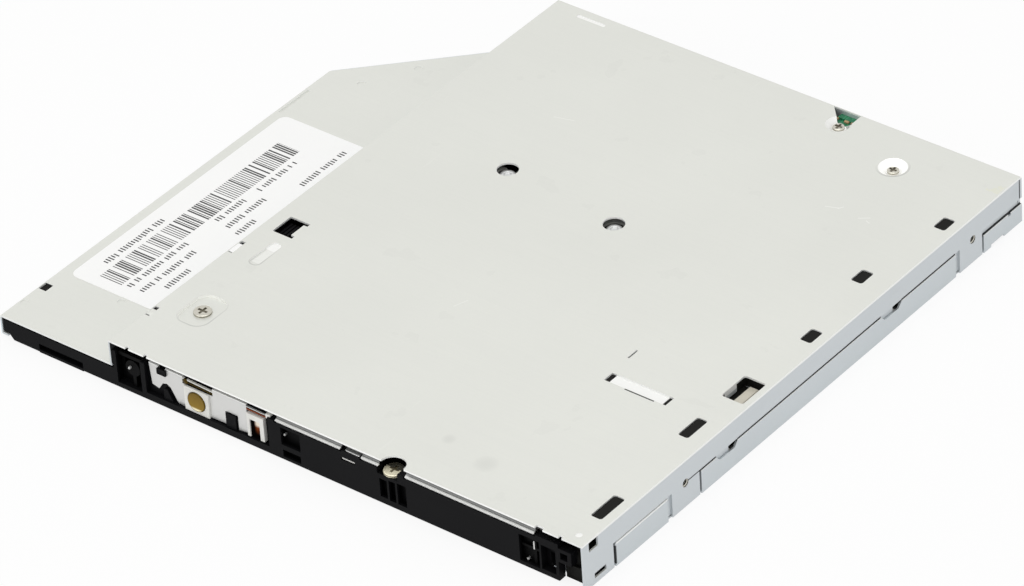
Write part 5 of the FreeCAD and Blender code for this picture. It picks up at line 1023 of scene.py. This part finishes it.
class Bench:
    """Edit-mode work on one new piece at a time, in millimetres."""

    helix_steps: ClassVar[int] = 24

    def __init__(self, name: str) -> None:
        """Keep the name of the piece to come."""
        self.name = name
        self.piece: Piece | None = None

    def block(self, low: Point, high: Point) -> "Bench":
        """Start from a cube between two corners."""
        size = [b - a for a, b in zip(low, high)]
        middle = [(a + b) / 2 for a, b in zip(low, high)]
        self._clear()
        bpy.ops.mesh.primitive_cube_add(size=1.0, location=[c * MM for c in middle])
        return self._started([c * MM for c in size])

    def drum(self, centre: Point, radius: float, depth: float, axis: str, sides: int) -> "Bench":
        """Start from a cylinder round a centre, along an axis."""
        turns = {"X": (0.0, math.pi / 2, 0.0), "Y": (math.pi / 2, 0.0, 0.0), "Z": (0.0, 0.0, 0.0)}
        self._clear()
        bpy.ops.mesh.primitive_cylinder_add(vertices=sides, radius=radius * MM, depth=depth * MM,
                                            location=[c * MM for c in centre], rotation=turns[axis])
        return self._started((1.0, 1.0, 1.0))

    def strip(self, line: Sequence[Place], left: float, right: float) -> "Bench":
        """Start from one edge and draw it out along places and heights.

        Args:
            line: Places along the drive and heights.
            left: Left side of the strip.
            right: Right side of the strip.

        Returns:
            The bench itself.
        """
        self._clear()
        bpy.ops.mesh.primitive_plane_add(size=MM)
        self._started((right - left, 1.0, 1.0))
        self.pick("EDGE", lambda middle, way: middle.y > 0.4 and abs(way.x) > ALIGNED)
        bpy.ops.mesh.delete(type="VERT")
        self.everything().shift(((left + right) / 2, line[0][0] + 0.5, line[0][1]))
        for first, second in zip(line, line[1:]):
            self.pull((0.0, second[0] - first[0], second[1] - first[1]))
        return self

    def thread(self, radius: float, rib: float, pitch: float, turns: int) -> "Bench":
        """Start from a three-cornered rib and wind it round the X axis.

        Args:
            radius: Radius at the middle of the rib.
            rib: Radius of the three-cornered section.
            pitch: Step of one turn.
            turns: Number of turns.

        Returns:
            The bench itself.
        """
        self._clear()
        bpy.ops.mesh.primitive_circle_add(vertices=3, radius=rib * MM, location=(0.0, 0.0, radius * MM),
                                          rotation=(-math.pi / 2, 0.0, 0.0))
        self._started((1.0, 1.0, 1.0))
        self._apply("SCREW", {"axis": "X", "screw_offset": pitch * MM, "iterations": turns,
                              "steps": self.helix_steps, "render_steps": self.helix_steps})
        self.everything()
        bpy.ops.mesh.fill_holes(sides=3)
        return self

    @staticmethod
    def _clear() -> None:
        """Leave edit mode and deselect everything."""
        if bpy.context.mode != "OBJECT":
            bpy.ops.object.mode_set(mode="OBJECT")
        bpy.ops.object.select_all(action="DESELECT")

    def _apply(self, kind: str, settings: Mapping[str, object]) -> "Bench":
        """Add a modifier to the piece and apply it.

        Args:
            kind: Type of the modifier.
            settings: Its properties.

        Returns:
            The bench itself.
        """
        self._focus()
        modifier = self.piece.modifiers.new(kind.lower(), kind)
        for key, value in settings.items():
            setattr(modifier, key, value)
        bpy.ops.object.modifier_apply(modifier=modifier.name)
        return self

    def _focus(self) -> None:
        """Leave edit mode and pick out this piece alone."""
        self._clear()
        bpy.context.view_layer.objects.active = self.piece
        self.piece.select_set(True)

    def _started(self, scale: Sequence[float]) -> "Bench":
        """Name the new primitive, give it its size and put its place into its mesh."""
        self.piece = bpy.context.object
        self.piece.name = self.name
        self.piece.data.name = self.name
        self.piece.scale = scale
        bpy.ops.object.transform_apply(location=True, rotation=True, scale=True)
        return self

    def pick(self, mode: str, test: Callable[[Vector, Vector], bool]) -> "Bench":
        """Select faces or edges in edit mode.

        Args:
            mode: FACE or EDGE.
            test: Says yes for a middle in millimetres and a direction, which is the normal of a face
                or the line of an edge.

        Returns:
            The bench itself.
        """
        bpy.ops.object.mode_set(mode="EDIT")
        bpy.ops.mesh.select_mode(type=mode)
        bpy.ops.mesh.select_all(action="DESELECT")
        mesh = bmesh.from_edit_mesh(self.piece.data)
        for item in mesh.faces if mode == "FACE" else mesh.edges:
            if mode == "FACE":
                middle = item.calc_center_median()
                way = item.normal
            else:
                middle = (item.verts[0].co + item.verts[1].co) / 2
                way = (item.verts[1].co - item.verts[0].co).normalized()
            if test(middle / MM, way):
                item.select_set(True)
        mesh.select_flush_mode()
        bmesh.update_edit_mesh(self.piece.data)
        return self

    def everything(self) -> "Bench":
        """Select the whole piece."""
        return self.pick("EDGE", lambda middle, way: True)

    def terrace(self, side: "Side", steps: Sequence[Place]) -> "Bench":
        """Step the face of one side inwards and outwards.

        Args:
            side: Way that the face looks.
            steps: Inset and rise of each step.

        Returns:
            The bench itself.
        """
        self.pick("FACE", side.test)
        for inset, rise in steps:
            self.inset(inset)
            if rise:
                self.shift([rise * c for c in side.value])
        return self

    def inset(self, width: float) -> "Bench":
        """Inset the picked faces."""
        bpy.ops.mesh.inset(thickness=width * MM, depth=0.0)
        return self

    def pull(self, way: Point) -> "Bench":
        """Extrude the picked faces along a way."""
        bpy.ops.mesh.extrude_region_move(TRANSFORM_OT_translate={"value": [c * MM for c in way]})
        return self

    def shift(self, way: Sequence[float]) -> "Bench":
        """Move the picked part."""
        bpy.ops.transform.translate(value=[c * MM for c in way])
        return self

    def cut(self, place: Point, way: Point) -> "Bench":
        """Divide the whole piece at a plane."""
        self.everything()
        bpy.ops.mesh.bisect(plane_co=[c * MM for c in place], plane_no=way)
        return self

    def wall(self, thickness: float) -> "Bench":
        """Give a sheet its thickness with an applied modifier."""
        return self._apply("SOLIDIFY", {"thickness": thickness * MM, "offset": 0.0})

    def grow(self, factor: Point, centre: Point) -> "Bench":
        """Scale the picked part about a centre."""
        bpy.ops.transform.resize(value=factor, center_override=[c * MM for c in centre])
        return self

    def round(self, width: float, steps: int) -> "Bench":
        """Bevel the picked edges."""
        bpy.ops.mesh.bevel(offset=width * MM, offset_type="OFFSET", segments=steps, affect="EDGES")
        return self

    def soften(self, width: float, steps: int = 2, angle: float = 35.0) -> "Bench":
        """Bevel every sharp edge with an applied modifier."""
        return self._apply("BEVEL", {"width": width * MM, "segments": steps, "limit_method": "ANGLE",
                                     "angle_limit": math.radians(angle)})

    def done(self, slot: str, body: str | None) -> Piece:
        """Close the piece and hang it on its body.

        Args:
            slot: Material slot of its finish.
            body: Body that it rides on, or none.

        Returns:
            The finished piece.
        """
        self._focus()
        bpy.ops.object.mode_set(mode="EDIT")
        bpy.ops.mesh.select_all(action="SELECT")
        bpy.ops.mesh.remove_doubles(threshold=WELD)
        bpy.ops.mesh.normals_make_consistent(inside=False)
        bpy.ops.object.mode_set(mode="OBJECT")
        bpy.ops.object.shade_smooth_by_angle(angle=math.radians(SMOOTH_ANGLE))
        return hang(self.piece, slot, body)


def hang(piece: Piece, slot: str, body: str | None) -> Piece:
    """Give a piece its finish and its body.

    Args:
        piece: The piece.
        slot: Material slot of its finish.
        body: Body that it rides on, or none.

    Returns:
        The piece.
    """
    piece.data.materials.clear()
    piece.data.materials.append(Wardrobe.material(slot))
    if body:
        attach(piece, body)
    LOG.info("piece %s wears %s and rides on %s", piece.name, slot, body)
    return piece


def repeat(piece: Piece, name: str, move: Point, slot: str, body: str) -> None:
    """Copy a finished piece by a move in millimetres, with a mesh of its own.

    Args:
        piece: The piece to copy.
        name: Name of the copy.
        move: How far the copy lies from it.
        slot: Material slot of its finish.
        body: Body that it rides on.
    """
    copy = bpy.data.objects.new(name, piece.data.copy())
    copy.data.name = name
    copy.data.transform(Matrix.Translation(Vector(move) * MM))
    bpy.context.scene.collection.objects.link(copy)
    hang(copy, slot, body)


def row(first: Piece, moves: Sequence[Point], slot: str, body: str) -> None:
    """Copy a finished piece whose name ends in 1 by each move, and number the copies."""
    for number, move in enumerate(moves, start=2):
        repeat(first, f"{first.name[:-1]}{number}", move, slot, body)


class Wardrobe:
    """All finishes, built once and given out by slot."""

    _made: dict[str, Material] = {}

    @classmethod
    def material(cls, slot: str) -> Material:
        """The material of a slot, built at its first use."""
        if slot not in cls._made:
            cls._made[slot] = FINISHES[slot].make()
        return cls._made[slot]

    @classmethod
    def dress(cls, frame: Mapping[str, object]) -> None:
        """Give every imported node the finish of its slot.
        """
        for part in frame["record"]["subparts"]:
            node = frame["nodes"][part["node"]]
            for held in node.material_slots:
                held.material = cls.material(part["material_slot"])
            LOG.info("node %s wears %s", part["node"], part["material_slot"])


@dataclass(frozen=True)
class FlexCable:
    """Flat cable in three runs: an upper and a lower run on no body, and a tail that rides on the tray."""

    left: float = 17.0
    right: float = 31.0
    thickness: float = 0.12
    upper: tuple[Place, ...] = ((30.0, 6.8), (23.4, 6.8), (20.4, 8.94))
    fold: float = -52.0
    upper_z: float = 8.94
    lower_z: float = 8.45
    ramp: float = 17.4
    ramp_run: float = 3.0
    pass_z: float = 5.72
    tail_fold: float = 48.0
    tail_end: float = 42.0
    tail_z: float = 4.5
    steps: int = 24
    arc_steps: int = 8

    def _ribbon(self, name: str, line: Sequence[Place], body: str | None) -> Piece:
        """Draw the cable's width along places and heights, on a body or on none."""
        return Bench(name).strip(line, self.left, self.right).wall(self.thickness).done("flex_film", body)

    def _arc(self, place: float, start: float, end: float, way: int) -> list[Place]:
        """Half a turn of the fold between two heights.

        Args:
            place: Where the fold begins.
            start: Height at its start.
            end: Height at its end.
            way: 1 to the rear, -1 to the front.

        Returns:
            Places and heights.
        """
        middle = (start + end) / 2
        radius = (start - end) / 2
        turns = [math.pi * k / self.arc_steps for k in range(self.arc_steps + 1)]
        return [(place + way * abs(radius) * math.sin(t), middle + radius * math.cos(t)) for t in turns]

    def _run(self, start: float, end: float, z: float) -> list[Place]:
        """Even steps of a straight run."""
        return [(start + (end - start) * k / self.steps, z) for k in range(1, self.steps)]

    def make(self) -> None:
        """Build the three runs."""
        front = self._arc(self.fold, self.upper_z, self.lower_z, -1)
        half = len(front) // 2
        start = self.upper[-1][0]
        upper = list(self.upper) + self._run(start, self.fold, self.upper_z) + front[:half + 1]
        lower = front[half:] + self._run(self.fold, self.ramp, self.lower_z) + [(self.ramp, self.lower_z)]
        tail = [(self.ramp, self.lower_z), (self.ramp + self.ramp_run, self.pass_z)]
        tail += self._arc(self.tail_fold, self.pass_z, self.tail_z, 1) + [(self.tail_end, self.tail_z)]
        first = self._ribbon("flex_upper", upper, None)
        second = self._ribbon("flex_lower", lower, None)
        self._ribbon("flex_tail", tail, "tray")
        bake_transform(first)
        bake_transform(second)
        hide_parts("flex_cable")
        LOG.info("flex cable runs between case and tray")


class Side(Enum):
    """Ways that a face of a block can look."""

    FRONT = (0.0, -1.0, 0.0)
    RIGHT = (1.0, 0.0, 0.0)
    TOP = (0.0, 0.0, 1.0)
    FOOT = (0.0, 0.0, -1.0)

    def test(self, middle: Vector, way: Vector) -> bool:
        """Whether a face looks this way."""
        return way.dot(Vector(self.value)) > ALIGNED


@dataclass(frozen=True)
class Fitting:
    """A block with one worked face: corners, face, its inset and move, edge, finish and copies.

    The inset face is moved, or drawn out where drawn says so.
    """

    name: str
    low: Point
    high: Point
    side: Side
    inset: float
    move: Point
    edge: float
    slot: str
    drawn: bool = False
    copies: tuple[Point, ...] = ()

    def make(self, body: str) -> None:
        """Model the block on its body and copy it.

        Args:
            body: Body that it rides on.
        """
        bench = Bench(self.name).block(self.low, self.high)
        bench.pick("FACE", self.side.test).inset(self.inset)
        if self.drawn:
            bench.pull(self.move)
        else:
            bench.shift(self.move)
        first = bench.soften(self.edge).done(self.slot, body)
        row(first, self.copies, self.slot, body)


@dataclass(frozen=True)
class Lead:
    """One flat contact strip: left, right, low and high limits, drop of its right end, and finish."""

    name: str
    left: float
    right: float
    low: float
    high: float
    drop: float
    slot: str


@dataclass(frozen=True)
class FrontFittings:
    """Contacts over the switch and the lamp, and the small fittings in the pockets of the tray front."""

    edge: float = 0.03
    face: float = -62.38
    rear: float = -62.02
    lead_steps: tuple[Place, ...] = ((0.04, 0.05),)
    lead_edge: float = 0.02
    leads: tuple[Lead, ...] = (
        Lead("switch_lead_upper", -22.52, -15.78, 7.58, 7.82, 0.3, "switch_white"),
        Lead("switch_lead_middle", -22.52, -15.78, 7.1, 7.26, 0.24, "dome_gold"),
        Lead("switch_lead_lower", -22.52, -15.78, 6.64, 6.8, 0.08, "guide_black"),
        Lead("lamp_lead_upper", -8.32, -3.18, 7.5, 7.64, 0.1, "pressed_steel"),
        Lead("lamp_lead_lower", -8.32, -3.18, 7.02, 7.3, 0.1, "coil_copper"),
    )
    bead: Point = (-21.8, -62.25, 7.28)
    bead_r: float = 0.58
    bead_depth: float = 0.42
    bead_sides: int = 24
    bead_steps: tuple[Place, ...] = ((0.16, 0.1), (0.16, 0.05))
    clip_low: Point = (-3.72, -62.75, 7.74)
    clip_high: Point = (-2.75, -61.7, 8.17)
    clip_edge: float = -3.22
    clip_hook: float = 0.46
    clip_round: float = 0.06
    blocks: tuple[Fitting, ...] = (
        Fitting("slot_bar", (12.81, -62.7, 5.71), (15.79, -61.88, 6.1),
                Side.FRONT, 0.08, (0.0, -0.08, 0.0), 0.03, "switch_white"),
        Fitting("bracket_stop", (-28.05, -62.78, 6.55), (-26.1, -62.35, 7.75),
                Side.FRONT, 0.25, (0.0, 0.12, 0.0), 0.05, "tray_black"),
        Fitting("pocket_spring", (53.22, -62.52, 4.1), (53.5, -62.38, 5.6),
                Side.TOP, 0.03, (0.0, 0.03, 0.12), 0.02, "pressed_steel", drawn=True),
    )
    pin: Point = (51.8, -62.13, 1.34)
    pin_r: float = 0.24
    pin_depth: float = 0.54
    pin_sides: int = 20
    pin_inset: float = 0.07
    pin_tip: float = 0.1
    pin_moves: tuple[tuple[str, Point], ...] = (
        ("cavity_pin", (-86.1, -0.48, 3.86)), ("recess_pin", (-51.9, 0.0, 3.71)))

    def _lead(self, lead: Lead) -> None:
        """Model one strip with a raised middle and a sunk right end.

        Args:
            lead: Its limits and finish.
        """
        bench = Bench(lead.name).block((lead.left, self.face, lead.low), (lead.right, self.rear, lead.high))
        bench.pick("FACE", Side.RIGHT.test).shift((0.0, 0.0, -lead.drop))
        bench.terrace(Side.FRONT, self.lead_steps).soften(self.lead_edge).done(lead.slot, "tray")

    def _bead(self) -> None:
        """Model the solder bead at the left end of the strips."""
        bench = Bench("switch_bead").drum(self.bead, self.bead_r, self.bead_depth, "Y", self.bead_sides)
        bench.terrace(Side.FRONT, self.bead_steps).soften(self.edge).done("dome_gold", "tray")

    def _clip(self) -> None:
        """Model the clip that hooks over the corner of the switch bay."""
        bench = Bench("bay_clip").block(self.clip_low, self.clip_high)
        bench.cut((self.clip_edge, 0.0, 0.0), Side.RIGHT.value)
        bench.pick("FACE", lambda middle, way: Side.FOOT.test(middle, way) and middle.x < self.clip_edge)
        bench.pull((0.0, 0.0, -self.clip_hook)).soften(self.clip_round).done("switch_white", "tray")

    def _pins(self) -> None:
        """Model one pin and copy it into the other pockets."""
        bench = Bench("pocket_pin").drum(self.pin, self.pin_r, self.pin_depth, "Y", self.pin_sides)
        bench.pick("FACE", Side.FRONT.test).inset(self.pin_inset).pull((0.0, -self.pin_tip, 0.0))
        first = bench.soften(self.edge).done("pressed_steel", "tray")
        for name, move in self.pin_moves:
            repeat(first, name, move, "pressed_steel", "tray")

    def make(self) -> None:
        """Build every fitting of the tray front."""
        for lead in self.leads:
            self._lead(lead)
        self._bead()
        self._clip()
        for block in self.blocks:
            block.make("tray")
        self._pins()


# Dark pads that stand in for the shade seen through notches and under the bridge's ends
SHADE_PAD = (Side.FOOT, 0.15, (0.0, 0.0, 0.05), 0.03, "damper_rubber")


@dataclass(frozen=True)
class CaseFittings:
    """What shows through the case's openings: rail guide, dark pads that stand in for shade, tabs, threads
    and board parts.
    """

    shelf_low: Point = (57.66, -17.25, 7.05)
    shelf_high: Point = (62.58, -10.65, 7.25)
    shelf_edge: float = 60.75
    shelf_drop: float = 0.81
    shelf_round: float = 0.04
    blocks: tuple[Fitting, ...] = (
        Fitting("guide_leaf", (59.45, -15.8, 7.23), (61.4, -10.8, 7.75),
                Side.TOP, 0.12, (0.0, 0.0, 0.15), 0.05, "lever_plastic", drawn=True),
        Fitting("guide_foot", (58.9, -61.3, 0.06), (63.3, -60.44, 2.9),
                Side.FRONT, 0.4, (0.0, 0.3, 0.0), 0.06, "guide_black"),
        Fitting("guide_flank", (61.8, -60.5, 0.38), (63.2, -56.4, 2.9),
                Side.RIGHT, 0.3, (-0.15, 0.0, 0.0), 0.05, "guide_black"),
        # Dark pads as shade under the bridge's ends, in the step's notches and under the wing notch
        Fitting("bridge_pad_1", (38.9, -24.95, 8.96), (40.05, -22.15, 9.16), *SHADE_PAD,
                copies=((12.45, 0.0, 0.0),)),
        Fitting("step_pad_1", (-38.16, -53.8, 8.9), (-37.0, -50.7, 9.21), *SHADE_PAD,
                copies=((0.0, 22.5, 0.0),)),
        Fitting("wing_pad", (-63.66, -53.5, 3.98), (-61.7, -51.1, 4.21), *SHADE_PAD),
        Fitting("step_tab", (-38.16, -53.35, 9.2), (-37.19, -51.65, 9.47),
                Side.TOP, 0.06, (0.0, 0.0, 0.02), 0.03, "case_steel"),
        Fitting("step_flap", (-38.16, -31.2, 9.2), (-37.19, -28.5, 9.47),
                Side.TOP, 0.1, (0.0, 0.0, 0.02), 0.04, "label_paper"),
        Fitting("board_edge", (25.6, 61.44, 7.5), (30.2, 62.62, 8.5),
                Side.TOP, 0.1, (0.0, 0.0, -0.06), 0.03, "board_green"),
    )
    thread_x: float = 62.78
    thread_z: float = 4.9
    thread_y: float = -35.2
    thread_moves: tuple[Point, ...] = ((0.0, 48.0 - thread_y, 0.0),)
    thread_r: float = 0.72
    thread_rib: float = 0.11
    thread_pitch: float = 0.35
    thread_turns: int = 3
    chip_low: Point = (24.9, 60.95, 8.08)
    chip_high: Point = (25.7, 61.45, 8.46)
    chip_caps: Point = (1.18, 1.0, 1.0)
    chip_edge: float = 0.03
    chip_moves: tuple[Point, ...] = ((2.3, 0.0, 0.0), (3.7, 0.0, 0.0))

    def _shelf(self) -> None:
        """Model the shelf of the rail guide under the hook window, with a lower right half."""
        bench = Bench("guide_shelf").block(self.shelf_low, self.shelf_high)
        bench.cut((self.shelf_edge, 0.0, 0.0), Side.RIGHT.value)
        bench.pick("FACE", lambda middle, way: Side.FOOT.test(middle, way) and middle.x > self.shelf_edge)
        bench.pull((0.0, 0.0, -self.shelf_drop)).soften(self.shelf_round).done("guide_black", "case")

    def _threads(self) -> None:
        """Model the screw thread of one side hole and copy it to the other."""
        bench = Bench("side_thread_1")
        bench.thread(self.thread_r, self.thread_rib, self.thread_pitch, self.thread_turns)
        bench.everything().shift((self.thread_x, self.thread_y, self.thread_z))
        row(bench.done("screw_steel", "case"), self.thread_moves, "screw_steel", "case")

    def _chips(self) -> None:
        """Model one board part with its end caps and copy it along the rear edge of the board."""
        bench = Bench("board_part_1").block(self.chip_low, self.chip_high)
        bench.pick("FACE", lambda middle, way: abs(way.x) > ALIGNED).inset(self.chip_edge)
        bench.grow(self.chip_caps, self.chip_low)
        first = bench.soften(self.chip_edge).done("capacitor_beige", "case")
        row(first, self.chip_moves, "capacitor_beige", "case")

    def make(self) -> None:
        """Build every fitting of the case."""
        self._shelf()
        for block in self.blocks:
            block.make("case")
        self._threads()
        self._chips()


@dataclass(frozen=True)
class SightCaps:
    """Domed caps on the two damper screws that show through the sight holes."""

    place: Point = (-12.75, 15.05, 8.21)
    moves: tuple[Point, ...] = ((13.1 - place[0], 12.25 - place[1], 0.0),)
    radius: float = 1.45
    depth: float = 0.3
    sides: int = 32
    steps: tuple[Place, ...] = ((0.3, 0.12), (0.45, 0.0), (0.12, -0.25))
    edge: float = 0.05

    def make(self) -> None:
        """Model one cap with a stepped crown and a socket, and copy it."""
        bench = Bench("sight_cap_1").drum(self.place, self.radius, self.depth, "Z", self.sides)
        first = bench.terrace(Side.TOP, self.steps).soften(self.edge).done("pressed_steel", "tray")
        row(first, self.moves, "pressed_steel", "tray")


@dataclass(frozen=True)
class PlateBeads:
    """Stiffening beads pressed in the shield of the tray, seen when it is out."""

    seat: float = 8.14
    foot: float = 0.1
    half: float = 1.1
    corner: float = 1.045
    corner_steps: int = 5
    steps: tuple[Place, ...] = ((0.35, 0.07), (0.3, 0.03))
    beads: tuple[tuple[float, float, float, float], ...] = (
        (-20.0, -52.0, 12.0, -52.0), (35.0, -52.0, 52.0, -52.0),
        (45.0, -44.0, 45.0, -4.0), (-4.0, -44.0, 10.0, -44.0))

    def _bead(self, name: str, ends: tuple[float, float, float, float]) -> None:
        """Model one long bead with round ends and a crowned top.

        Args:
            name: Name of the piece.
            ends: Middle of its first and last end.
        """
        left, front, right, rear = ends
        low = (left - self.half, front - self.half, self.seat)
        high = (right + self.half, rear + self.half, self.seat + self.foot)
        bench = Bench(name).block(low, high)
        bench.pick("EDGE", lambda middle, way: abs(way.z) > ALIGNED).round(self.corner, self.corner_steps)
        bench.terrace(Side.TOP, self.steps).done("pressed_steel", "tray")

    def make(self) -> None:
        """Build the beads."""
        for number, ends in enumerate(self.beads, start=1):
            self._bead(f"plate_bead_{number}", ends)


def main() -> None:
    """Build camera, studio, finishes and pieces."""
    logging.basicConfig(level=logging.INFO, format="%(name)s: %(message)s")
    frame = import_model()
    Viewpoint().make()
    Studio().make()
    Wardrobe.dress(frame)
    FlexCable().make()
    FrontFittings().make()
    CaseFittings().make()
    SightCaps().make()
    PlateBeads().make()


if __name__ == "__main__":
    main()
